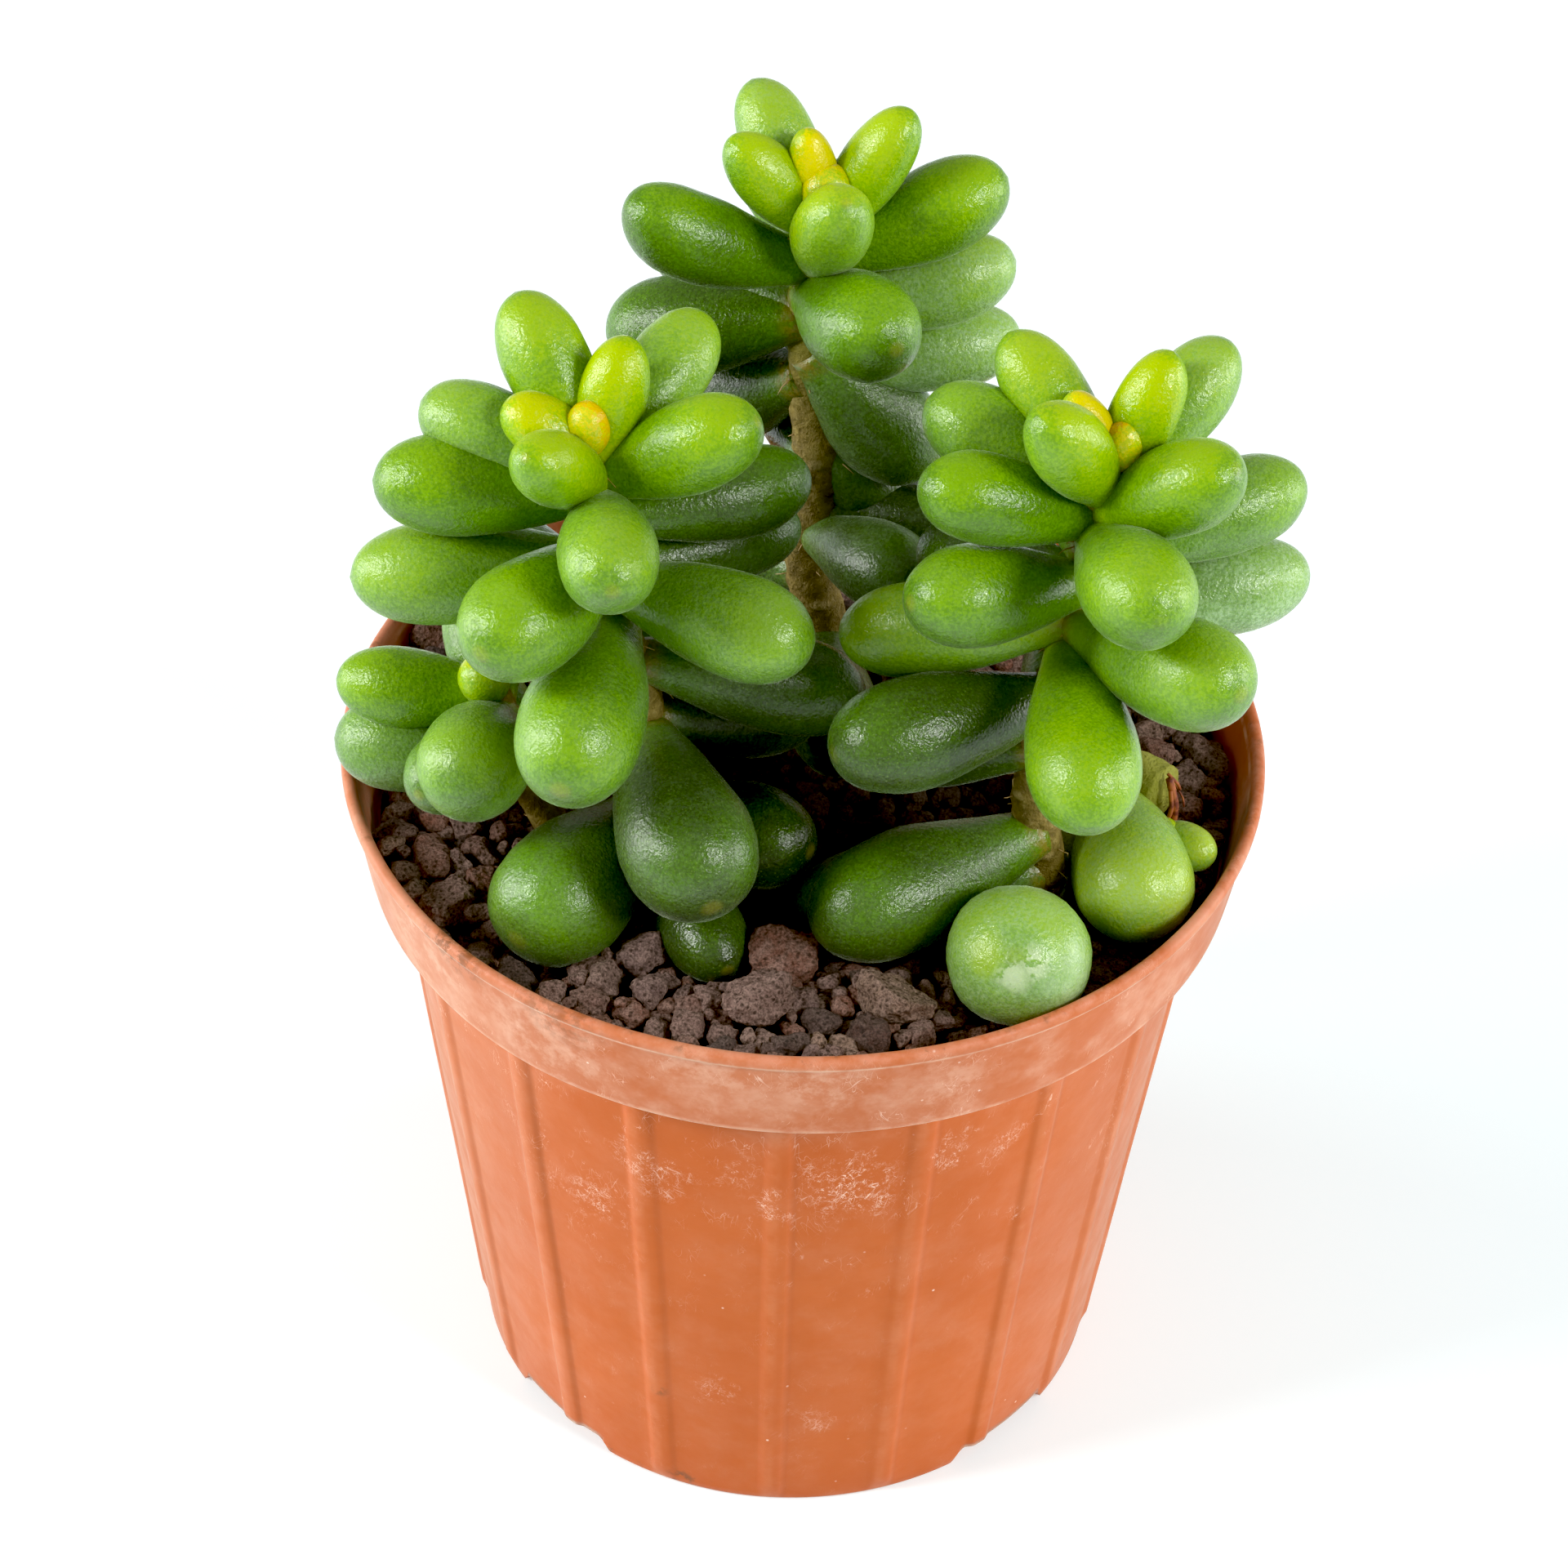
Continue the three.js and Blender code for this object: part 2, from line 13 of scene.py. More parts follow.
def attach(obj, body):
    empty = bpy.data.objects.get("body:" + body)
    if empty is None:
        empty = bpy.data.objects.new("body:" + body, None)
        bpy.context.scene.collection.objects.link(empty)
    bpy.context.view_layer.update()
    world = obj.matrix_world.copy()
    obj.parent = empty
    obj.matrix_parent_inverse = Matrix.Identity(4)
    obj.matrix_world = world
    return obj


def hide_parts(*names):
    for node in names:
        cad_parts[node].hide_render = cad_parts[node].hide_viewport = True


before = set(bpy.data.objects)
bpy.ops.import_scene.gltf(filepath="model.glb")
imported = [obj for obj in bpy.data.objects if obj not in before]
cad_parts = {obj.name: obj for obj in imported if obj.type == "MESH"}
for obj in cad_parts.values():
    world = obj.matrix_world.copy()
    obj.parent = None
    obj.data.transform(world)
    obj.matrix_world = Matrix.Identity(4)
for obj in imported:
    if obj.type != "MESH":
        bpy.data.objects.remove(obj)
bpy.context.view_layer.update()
MM = 0.001

# Pot, the same sizes as in the CAD
POT_HEIGHT = 47.3
RIM_RADIUS = 27.6
LIP_HEIGHT = 0.9
LIP_RELIEF = 0.3
FOOT_RADIUS = 20
WALL = 0.7
COLLAR_BOTTOM = 40.1
COLLAR_LOW_RADIUS = 26.3
BODY_TOP_RADIUS = 24.5
FOOT_HEIGHT = 1.5
FLOOR_THICKNESS = 1
SHOULDER = COLLAR_BOTTOM + WALL
RIB_COUNT = 18
RIB_HALF = 0.75
RIB_RELIEF = 0.26
RIB_TURN = 8.5
SLOT_HALF = 3.9
SLOT_HEIGHT = 1.3
HOLE_COUNT = 5
HOLE_RADIUS = 1.8
HOLE_CIRCLE = 13
GAP = 0.38
SOIL_TOP = 36.5
BED_LOW = 41.8
FLOOR_TOP = FOOT_HEIGHT + FLOOR_THICKNESS
SLOT_TURN = math.degrees(SLOT_HALF / FOOT_RADIUS)
BODY_MIDDLE_RADIUS = 22.3

# Stems as in the CAD: radius, points from the root up, and leaves as rows of height, turn,
# rise, length, thickness and curl. The last two numbers of a row are its looks: how
# ripe it is (0 orange bud, 1 dark green) and how much grey bloom it has.
STEMS = {
    "back": [
        (1.5, [
            (1.3, 8.8, 22), (1.2, 8.6, 44), (1, 8.5, 49), (-0.2, 8.4, 54.5), (0.6, 8.4, 60),
            (-0.4, 8.4, 66.5), (-0.6, 8.3, 73), (0.2, 8, 79.4),
        ], [
            (78.4, 16, 78, 4.4, 3.3, 0, 0.13, 0), (78.4, 255, 80, 6.2, 2.8, 0, 0.14, 0),
            (77.8, 275, 51, 8.2, 3.8, 0, 0.36, 0.05), (77.5, 218, 46, 9.6, 4.4, 0, 0.45, 0.35),
            (77, 102, 59, 9.8, 3.9, 0, 0.34, 0.05), (75.6, 21, 57, 8.5, 4.6, 0, 0.36, 0.1),
            (76, 199, 11, 10.5, 5, 0, 0.55, 0.3), (75.9, 102, 22, 11.8, 5.4, 10, 0.52, 0.05),
            (75.4, 284, 27, 12.2, 5.2, 25, 0.64, 0.05), (74.6, 170, -1, 11, 5.4, 10, 0.65, 0.2),
            (73.5, 31, 13, 10, 6.2, 0, 0.64, 0.08), (72.4, 228, -3, 12, 5, 10, 0.8, 0.3),
            (72.5, 99, 11, 12.2, 5.3, 10, 0.47, 0.7), (71.8, 253, -19, 12.8, 6.2, 0, 0.8, 0.05),
            (69.5, 185, -5, 12.5, 5.4, 0, 0.7, 0.4), (68.8, 102, 1, 12.6, 5.3, 10, 0.5, 0.9),
            (69.6, 94, -51, 11.4, 6.4, 0, 0.83, 0.2), (65.5, 145, -6, 12.5, 5.4, 0, 0.85, 0.3),
            (67.6, 223, -36, 12.8, 6.3, 0, 0.88, 0.1), (62.9, 109, -52, 10, 5.4, 0, 0.8, 0.3),
            (60.9, 188, -11, 12.5, 5.8, 0, 0.9, 0.3), (58, 83, -4, 12, 5.2, 0, 0.98, 0.2),
            (56, 35, 18, 12, 5.2, 0, 0.9, 0.3), (52.5, 223, -14, 12, 5.2, 0, 0.9, 0.35),
            (48, 6, -6, 11.2, 5.6, 0, 1, 0.3),
        ]),
    ],
    "left": [
        (1.25, [
            (-9.4, -7, 24), (-9.4, -7.2, 44), (-9.3, -7.4, 55), (-9.7, -7.6, 59),
            (-10.9, -7.9, 62.5), (-11.5, -8.3, 70), (-11.9, -8.6, 74.2),
        ], [
            (74.6, 335, 79, 3.5, 2.5, 0, 0.06, 0), (74.1, 271, 36, 5.9, 3.6, 0, 0.26, 0),
            (73.3, 143, 69, 7.8, 3.8, 0, 0.32, 0), (73.4, 218, 44, 10.4, 4.8, 0, 0.44, 0.1),
            (72.8, 148, 24, 11.4, 4.8, 0, 0.48, 0.25), (72, 326, 43, 8.6, 4.2, 0, 0.38, 0.05),
            (72.4, 256, 18, 10.5, 5.2, 0, 0.52, 0.3), (71.5, 274, 5, 12.3, 5.6, 0, 0.59, 0.05),
            (72.4, 80, 32, 10.5, 5.2, 0, 0.48, 0.06),
            (69.9, 115, -4, 12.5, 5.3, 10, 0.78, 0.12), (71, 7, 12, 11, 5.5, 0, 0.53, 0.17),
            (66.4, 278, 0, 14.2, 5.8, 0, 0.52, 0.25), (67, 330, 7, 12.4, 6.6, 0, 0.57, 0.1),
            (65.2, 62, 1, 12.8, 6.1, 0, 0.56, 0.28), (62, 350, -4, 13.6, 7.1, 0, 0.6, 0.15),
            (59.2, 99, -18, 14, 6, 0, 0.85, 0.2), (53.6, 20, -10, 13.4, 7.8, 0, 0.9, 0.15),
            (47, 328, -3, 12.4, 8, 0, 0.75, 0.2), (68.6, 192, 4, 12.5, 5.4, 10, 0.7, 0.3),
            (65.8, 123, -7, 12.5, 4.6, 0, 0.8, 0.25), (62.4, 230, -2, 13, 5.6, 0, 0.8, 0.3),
            (57, 181, -8, 13, 5.6, 0, 0.85, 0.3), (54.5, 126, -22, 13, 5.8, 0, 0.95, 0.25),
            (47.6, 61, 9, 11.6, 6.2, 0, 1, 0), (44.8, 26, 2, 12.6, 5, 0, 1, 0.1),
        ]),
        (1.1, [
            (-9.5, -7.2, 41), (-11.6, -7, 43), (-14.5, -6.5, 45), (-16.8, -6, 50),
            (-18.2, -5.8, 55),
        ], [
            (54.7, 340, 62, 3.6, 3, 0, 0.26, 0), (54.6, 267, 2, 9, 4.8, 8, 0.55, 0.05),
            (53.4, 195, 20, 8.5, 4.6, 0, 0.6, 0.2), (52.8, 348, 13, 9.4, 6.5, 0, 0.56, 0.25),
            (52, 330, 9, 8.8, 5, 0, 0.7, 0.15), (50.4, 270, 3, 10.4, 5.8, 0, 0.66, 0.4),
            (49, 205, 2, 9.5, 5.2, 0, 0.6, 0.25),
        ]),
    ],
    "right": [
        (1.25, [
            (14.6, -9, 24), (14.4, -9.4, 45), (13.2, -9.7, 51.5), (14.1, -10.2, 61),
            (15.3, -10.8, 68), (15.6, -11, 73.6), (16.4, -11.1, 76.4),
        ], [
            (76.2, 26, 83, 3.5, 2.3, 0, 0.05, 0), (75.2, 256, 66, 6.2, 2.9, 0, 0.13, 0),
            (75.4, 130, 64, 8, 3.7, 0, 0.32, 0), (75, 229, 40, 10, 4.4, 0, 0.4, 0.12),
            (74.5, 133, 35, 10.7, 4.6, 0, 0.48, 0.4), (74.6, 303, 56, 8.6, 4.4, 0, 0.37, 0.04),
            (74.2, 252, 21, 11, 5.2, 0, 0.57, 0.2), (73, 58, 41, 10.3, 5.3, 0, 0.48, 0.06),
            (72.8, 286, 22, 11, 5.1, 0, 0.59, 0.05), (71.8, 15, 14, 11.4, 6.1, 0, 0.53, 0.13),
            (71, 113, 5, 12.6, 5.4, 10, 0.57, 0.3), (69.6, 183, 5, 12.5, 5.4, 10, 0.7, 0.4),
            (68.3, 300, 14, 11.8, 5.7, 0, 0.61, 0.1), (68.3, 238, -13, 11, 4.8, 0, 0.92, 0.1),
            (66.6, 107, -1, 13.3, 5.4, 10, 0.6, 1), (65.6, 262, -14, 13.6, 5.6, 0, 0.46, 0.25),
            (65.4, 41, 14, 13.1, 6.3, 10, 0.53, 0.17), (63.5, 204, -8, 12.5, 5.4, 0, 0.75, 0.3),
            (63.6, 4, -7, 13.3, 6.4, 0, 0.52, 0.1), (60.5, 137, -5, 12.5, 5.4, 0, 0.75, 0.3),
            (59.6, 298, 3, 14, 6.5, 0, 0.89, 0.08), (56.5, 167, -8, 12.5, 5.6, 0, 0.8, 0.3),
            (55.4, 253, -14, 11.6, 5.2, 0, 0.98, 0.05), (48.6, 301, -4, 15, 7.1, 0, 0.84, 0.13),
            (45.6, 288, 3, 15.2, 5.7, 0, 0.9, 0.25),
        ]),
        (1.7, [
            (14.4, -9.2, 43.5), (16.6, -5.8, 45.8), (19.2, -3.4, 47.4), (21.3, -4.7, 47.7),
        ], [
            (46.9, 9, -6, 10.6, 7.1, 0, 0.37, 0.55),
        ]),
        (0.8, [(14.4, -9.3, 42.5), (18, -7.6, 44.4), (20.9, -6.4, 46)], [
            (45.9, 48, 14, 4.6, 2.9, 0, 0.32, 0.4), (45.9, 30, 45, 2.6, 1.8, 0, 0.35, 0),
        ]),
        (1.1, [(14.4, -9.5, 41.5), (13.8, -12.2, 42.4), (12.9, -14.8, 43.4)], [
            (43.2, 353, 43, 9.8, 8.4, 0, 0.48, 0.65),
        ]),
    ],
}

# Leaves: the lengths of a young and a grown one, how their width runs to neck and tip, how
# flat and keeled the grown ones are, and their uneven waves as closeness and height
YOUNG_LENGTH = 6
GROWN_LENGTH = 13
NECK_POWER = 1.3
TIP_POWER = 2.25
FLATNESS = 0.06
KEEL_RISE = 0.025
KEEL_SPREAD = 0.35
LEAF_WAVES = [(0.28, 0.045), (0.7, 0.014)]
LEAF_SIDES = 32
LEAF_RINGS = 27

# Stems: the turn from one fallen leaf to the next, the waves of the bark, how far a leaf
# scar stands out and how high and wide it is, how much a stem thins below its top, and
# how high the knots are where leaves sit
SPIRAL = 137.5
BARK_WAVES = [(0.9, 0.1), (2.3, 0.06)]
SCAR_RISE = 0.17
SCAR_HEIGHT = 0.42
SCAR_WIDTH = 0.62
TOP_THINNING = 0.36
KNOT_HEIGHT = 0.6
THICK_STEM = 1.5
STALK_SIDES = 28
STEPS_A_MM = 3.6
HAIRS_A_STEM = 130
HAIRS_A_SHOOT = 12
HAIR_RADII = [0.05, 0.04, 0.015]

# Torn sheath on the cut end of the side branch: strips from, to, and half width
SHEATH = [
    ((21.5, -5.2, 49.2), (21.9, -5.9, 46.2), 0.24), ((21.4, -4.9, 49.3), (22.2, -5.0, 48.2), 0.1),
    ((21.6, -5.6, 48.6), (21.4, -6.2, 46.4), 0.14), ((21.9, -4.6, 48.2), (22.5, -5.4, 47.2), 0.06),
]

# Where the gravel is piled up: x, y, reach and rise of each mound
MOUNDS = [
    (0, -21, 13, 2.6), (-12, -18, 9, 2.4), (-20, -9, 8, 1.8), (21, 2, 9, 1.5),
    (0, 17, 17, 1.8), (-20, 9, 10, 3),
]
MOUND_STEEPNESS = 1.6

# Grains that show best: x, y, radius and how long they are
SHOWN_GRAINS = [
    (-16.5, -20, 1.4, 1.3), (-14, -20.5, 1.2, 1.1), (-11.5, -17.5, 1.7, 1.2), (-11.6, -20.6, 1, 1.2),
    (-10.3, -22.4, 0.7, 1.2), (-8.6, -16.6, 1.3, 1.6), (-8.4, -19.8, 1.4, 1.1), (-7.6, -22.6, 1, 1.2),
    (-6, -22.7, 1.2, 1), (-4.8, -19.5, 1.2, 1.2), (-6, -21, 0.9, 1.2), (-2, -21.4, 2.1, 1.1),
    (-4, -23.4, 0.9, 1.2), (-0.7, -17.2, 2.1, 1.05), (-1.6, -19.4, 0.8, 1.1), (0.2, -20.6, 1.2, 1.2),
    (2, -19, 0.9, 1.1), (1.6, -22.3, 1.2, 1.2), (0, -24, 1.1, 1.3), (2.9, -24, 0.8, 1.6),
    (4.4, -23.2, 1.3, 1.2), (5.6, -20.4, 2.1, 1.1), (7, -24, 0.9, 1.1), (9.2, -23.4, 0.9, 1.2),
    (9.4, -21.6, 0.8, 1.1), (11.4, -22.4, 0.9, 1.1), (2.7, -20.8, 0.9, 1),
    (-21.5, -9, 1.5, 1.5), (-21, -6.6, 0.8, 1.1), (-23.8, -10, 1.1, 1.2), (-22.6, -12, 1.2, 1.1),
    (-20.3, -12.6, 1.7, 1.1), (-18.6, -8.2, 1.2, 1.3), (-16, -7, 0.8, 1.1), (-24.4, -6, 1.2, 1.1),
    (-19.6, -15.6, 1, 1.2), (-22.4, -4.6, 1, 1.1),
    (24, 3.2, 1.2, 1.2), (21.2, 2.6, 1.4, 1.1), (23.2, 0.4, 1.2, 1.2), (23, -2, 1.3, 1.1),
    (18.6, 3.4, 0.7, 1.1), (22.3, 5.5, 1.1, 1.1), (23.4, -4, 0.9, 1.1), (-23.6, 10, 1.5, 1.1),
    (-21.8, 8.6, 1, 1.1), (25, 7.6, 1.1, 1.2), (-25, 7.4, 1, 1.1),
]

# Grains: how much the placed ones are shrunk, how far a grain's side reaches as a share of
# its radius, how near neighbours lie, and the sizes and number of those that fill the rest
GRAIN_SHRINK = 0.93
GRAIN_SIDE = 0.92
GRAIN_NEST = 0.78
FILL_SMALLEST = 0.42
FILL_SPREAD = 0.95
FILL_REACH = 25.8
FILL_TRIES = 9000
FILL_LIMIT = 1150
FRONT_END = -9
MIDDLE_END = 4

rng = random.Random(7)


# Meshes


def mesh_object(name, points, faces, values=None):
    """A smooth mesh from points in millimetres, with a number at each point for each value."""
    mesh = bpy.data.meshes.new(name)
    mesh.from_pydata((np.asarray(points, float) * MM).tolist(), [], faces)
    mesh.validate()
    mesh.shade_smooth()
    for key, data in (values or {}).items():
        attribute = mesh.attributes.new(key, "FLOAT", "POINT")
        attribute.data.foreach_set("value", np.asarray(data, np.float32))
    made = bpy.data.objects.new(name, mesh)
    bpy.context.scene.collection.objects.link(made)
    return made


def piece(made, material, node):
    """Gives a mesh its body and material, and hides the node that it replaces."""
    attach(made, "root")
    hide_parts(node)
    made.data.materials.clear()
    made.data.materials.append(material)


def tube_faces(rows, columns):
    """Faces of a closed tube: rings of points, then one point at its start and one at its end."""
    faces = []
    for i in range(rows - 1):
        for j in range(columns):
            k = (j + 1) % columns
            a = i * columns
            faces.append((a + j, a + k, a + columns + k, a + columns + j))
    end = rows * columns
    last = end - columns
    for j in range(columns):
        k = (j + 1) % columns
        faces.append((k, j, end))
        faces.append((last + j, last + k, end + 1))
    return faces


class Gatherer:
    """Collects points, faces and values of many small forms for one mesh."""

    def __init__(self, *keys):
        self.points = []
        self.faces = []
        self.values = {key: [] for key in keys}

    def add(self, points, faces, **values):
        first = len(self.points)
        self.points.extend(points)
        self.faces.extend(tuple(first + i for i in face) for face in faces)
        for key, data in values.items():
            data = np.broadcast_to(np.asarray(data, float), (len(points),))
            self.values[key].extend(data.tolist())

    def build(self, name):
        return mesh_object(name, self.points, self.faces, self.values)


def smooth_step(x, low, high):
    """Runs softly from 0 at the low value to 1 at the high one."""
    t = np.clip((np.asarray(x, float) - low) / (high - low), 0, 1)
    return t * t * (3 - 2 * t)


def rise_to(x, low, high):
    """The same for one number."""
    return float(smooth_step(x, low, high))


def waves(point, layers, seed=Vector((0, 0, 0))):
    """Smooth noise at a point, in layers of a closeness and a height each."""
    return sum(height * noise.noise(point * closeness + seed) for closeness, height in layers)


def random_seed(reach):
    return Vector([rng.uniform(-reach, reach) for _ in range(3)])


def on_circle(radius, j, count):
    """The j-th of some even points on a circle."""
    angle = 2 * math.pi * j / count
    return radius * math.cos(angle), radius * math.sin(angle)


def turn_between(a, b):
    """The turn from b to a in degrees, the short way round."""
    return (a - b + 180) % 360 - 180


# Stems and leaves


def stem_point(points, z):
    """The point of a stem's line at a height."""
    i = 1
    while i < len(points) - 1 and points[i][2] < z:
        i += 1
    low, high = Vector(points[i - 1]), Vector(points[i])
    return low.lerp(high, (z - low.z) / (high.z - low.z))


def leaf_age(length):
    return rise_to(length, YOUNG_LENGTH, GROWN_LENGTH)


def leaf_width(share, length):
    """Half width of a leaf at a share of its length, as a share of its greatest half width."""
    age = leaf_age(length)
    widest = 0.5 + 0.16 * age
    neck = 0.5 - 0.08 * age
    below = neck + (1 - neck) * math.sin(math.pi / 2 * min(share / widest, 1)) ** NECK_POWER
    beyond = max(share - widest, 0) / (1 - widest)
    return below if share < widest else math.sqrt(max(1 - beyond**TIP_POWER, 0))


def leaf_frame(points, row):
    """A leaf's centre line as a function of a share of its length, and its three directions."""
    height, turn, rise, length, _, curl = row[:6]
    t, r = math.radians(turn), math.radians(rise)
    along = Vector((math.sin(t) * math.cos(r), -math.cos(t) * math.cos(r), math.sin(r)))
    side = Vector((-math.cos(t), -math.sin(t), 0))
    up = Vector((-math.sin(t) * math.sin(r), math.cos(t) * math.sin(r), math.cos(r)))
    sag = math.tan(math.radians(curl) / 4) / 2 * length
    root = stem_point(points, height)

    def centre_at(share):
        return root + along * (share * length) - up * (4 * share * (1 - share) * sag)

    return centre_at, along, side, up


def add_leaf(gather, points, row):
    """A club-shaped leaf: rings along its centre line, with a keel and uneven waves."""
    length, thickness, _, ripe, bloom = row[3:]
    centre_at, along, side, up = leaf_frame(points, row)
    chance = rng.random()
    flat = 1 - FLATNESS * leaf_age(length) * rng.random()
    seed = random_seed(50)
    # rings lie closer together towards the rounded tip
    shares = np.sin(np.linspace(0, 1, LEAF_RINGS) * math.pi / 2) ** 1.15
    place, share_at, top_at = [], [], []
    for share in shares[:-1]:
        width = leaf_width(share, length) * thickness / 2
        centre = centre_at(share)
        # a low keel runs along the upper side of the tip
        keel = KEEL_RISE * rise_to(share, 0.5, 0.9)
        for j in range(LEAF_SIDES):
            angle = 2 * math.pi * j / LEAF_SIDES
            over = math.sin(angle)
            ridge = 1 + keel * math.exp(-(((angle - math.pi / 2) / KEEL_SPREAD) ** 2))
            out = (side * math.cos(angle) + up * (over * flat)) * (width * ridge)
            place.append(centre + out * (1 + waves(centre + out, LEAF_WAVES, seed)))
            share_at.append(share)
            top_at.append(over)
    place += [centre_at(0), centre_at(0) + along * (length * 1.004)]
    faces = tube_faces(LEAF_RINGS - 1, LEAF_SIDES)
    looks = {"ripe": ripe, "bloom": bloom, "chance": chance}
    gather.add(place, faces, share=[*share_at, 0, 1], top=[*top_at, 0, 0.5], **looks)


def smooth_path(points, steps):
    """Points on a smooth curve through the given points."""
    pts = [Vector(p) for p in points]
    pts = [pts[0] * 2 - pts[1], *pts, pts[-1] * 2 - pts[-2]]
    path = []
    for i in range(1, len(pts) - 2):
        a, b, c, d = pts[i - 1 : i + 3]
        count = max(2, round((c - b).length * steps))
        for n in range(count):
            t = n / count
            bend = (2 * a - 5 * b + 4 * c - d) * t * t + (3 * b - a - 3 * c + d) * t**3
            path.append(0.5 * (2 * b + (c - a) * t + bend))
    path.append(pts[-2])
    return path


def leaf_scars(points, rows):
    """Places on a stem where leaves have fallen: height, turn about the stem, and strength."""
    scars = []
    z, turn = BED_LOW + 2, rng.uniform(0, 360)
    while z < points[-1][2] - 9:
        if not any(abs(row[0] - z) < 1 and abs(turn_between(row[1], turn)) < 50 for row in rows):
            scars.append((z, turn, rng.uniform(0.6, 1.2)))
        z += rng.uniform(1.0, 1.9)
        turn = (turn - SPIRAL) % 360
    return scars


def scar_at(point, centre, radius, scars):
    """How strongly a point on a stem lies on a leaf scar."""
    angle = math.degrees(math.atan2(point.x - centre.x, centre.y - point.y))
    strength = 0.0
    for z, turn, size in scars:
        if abs(point.z - z) < 1.5:
            arc = math.radians(turn_between(angle, turn)) * radius
            strength += size * math.exp(-(((point.z - z) / SCAR_HEIGHT) ** 2) - (arc / SCAR_WIDTH) ** 2)
    return strength


def around_path(path, sides):
    """Each point of a path, with the directions that lead outward from it."""
    side = Vector((1, 0, 0))
    for i, centre in enumerate(path):
        ahead = (path[min(i + 1, len(path) - 1)] - path[max(i - 1, 0)]).normalized()
        side = (side - ahead * side.dot(ahead)).normalized()
        up = ahead.cross(side)
        circle = [on_circle(1, j, sides) for j in range(sides)]
        yield centre, [side * x + up * y for x, y in circle]


def add_tube(gather, path, radii, sides, **values):
    """A round tube along a path, closed at both ends."""
    place = []
    for radius, (centre, outward) in zip(radii, around_path(path, sides)):
        place += [centre + out * radius for out in outward]
    gather.add([*place, path[0], path[-1]], tube_faces(len(path), sides), **values)


def add_stalk(gather, path, radii, scars, top):
    """A stem's tube, with rough bark, raised leaf scars and a young end up to a height."""
    place, marks = [], []
    for radius, (centre, outward) in zip(radii, around_path(path, STALK_SIDES)):
        for out in outward:
            out = out * radius
            mark = scar_at(centre + out, centre, radius, scars)
            place.append(centre + out * (1 + waves(centre + out, BARK_WAVES) + SCAR_RISE * mark))
            marks.append(mark)
    place += [path[0], path[-1]]
    young = [rise_to(point.z, top - 16, top) for point in place]
    gather.add(place, tube_faces(len(path), STALK_SIDES), young=young, scar=[*marks, 0, 0])


def add_hairs(gather, path, radius, count):
    """Short bent hairs that stand out from a stem above the gravel."""
    shown = [p for p in path if p.z > BED_LOW - 1]
    for _ in range(count):
        centre = rng.choice(shown)
        angle = rng.uniform(0, 2 * math.pi)
        out = Vector((math.cos(angle), math.sin(angle), rng.uniform(-0.5, 0.6))).normalized()
        bend = Vector((rng.uniform(-1, 1), rng.uniform(-1, 1), rng.uniform(-1, 0.4)))
        start = centre + out * radius * 0.85
        reach = rng.uniform(0.35, 1.1)
        middle = start + out * reach * 0.6 + bend * reach * 0.15
        end = start + out * reach * 0.9 + bend * reach * 0.55
        add_tube(gather, [start, middle, end], HAIR_RADII, 4, torn=0)


def add_sheath(gather):
    """The strips of the torn sheath, each bent outward in its middle."""
    for start, end, width in SHEATH:
        middle = (Vector(start) + Vector(end)) / 2 + Vector((0.2, -0.15, 0))
        path = smooth_path([start, middle, end], 4)
        add_tube(gather, path, [width] * len(path), 8, torn=1)


def stem_pieces(name, parts):
    """The leaves, the stalks and the hairs of a stem and its shoots, as three meshes."""
    leaves = Gatherer("share", "top", "ripe", "bloom", "chance")
    stalks = Gatherer("young", "scar")
    hairs = Gatherer("torn")
    for radius, points, rows in parts:
        tall = len(rows) > 10
        path = smooth_path(points, STEPS_A_MM)
        top = points[-1][2]
        radii = []
        for p in path:
            thin = 1 - TOP_THINNING * rise_to(p.z, top - 17, top - 11) if tall else 1
            # the stem swells a little where leaves sit
            knot = sum(math.exp(-(((p.z - row[0]) / KNOT_HEIGHT) ** 2)) for row in rows)
            radii.append(radius * (0.94 * thin + 0.08 * min(knot, 1.5)))
        scars = leaf_scars(points, rows) if tall else []
        # thin shoots are brown up to their ends
        add_stalk(stalks, path, radii, scars, top if tall or radius > THICK_STEM else top + 20)
        for row in rows:
            add_leaf(leaves, points, row)
        add_hairs(hairs, path, radius, HAIRS_A_STEM if tall else HAIRS_A_SHOOT)
    if name == "right":
        add_sheath(hairs)
    return leaves.build(f"leaves_{name}"), stalks.build(f"stalk_{name}"), hairs.build(f"hairs_{name}")


# Gravel


def plant_balls():
    """Balls along every leaf and stem, which the gravel keeps clear of."""
    centres, radii = [], []
    for radius, points, rows in (part for parts in STEMS.values() for part in parts):
        for row in rows:
            centre_at = leaf_frame(points, row)[0]
            for share in np.arange(0, 1, 0.06):
                centres.append(centre_at(share))
                radii.append(row[4] / 2 * leaf_width(share, row[3]))
        z = points[0][2]
        while z < min(56, points[-1][2]):
            centres.append(stem_point(points, z))
            radii.append(radius)
            z += 0.6
    return np.array(centres), np.array(radii)


BALL_CENTRES, BALL_RADII = plant_balls()


def clearance(point):
    """How far a point lies outside leaves and stems."""
    return float((np.linalg.norm(BALL_CENTRES - np.asarray(point), axis=1) - BALL_RADII).min())


def bed_height(x, y):
    """Height of the gravel's bed, which gives way under leaves."""
    rise = 0.0
    for mound_x, mound_y, reach, height in MOUNDS:
        near = 1 - math.hypot(x - mound_x, y - mound_y) / reach
        rise = max(rise, height * rise_to(MOUND_STEEPNESS * near, 0, 1))
    z = BED_LOW + rise
    while z > SHOULDER + 2 * GAP and clearance((x, y, z)) < 2 * GAP:
        z -= 0.15
    return z


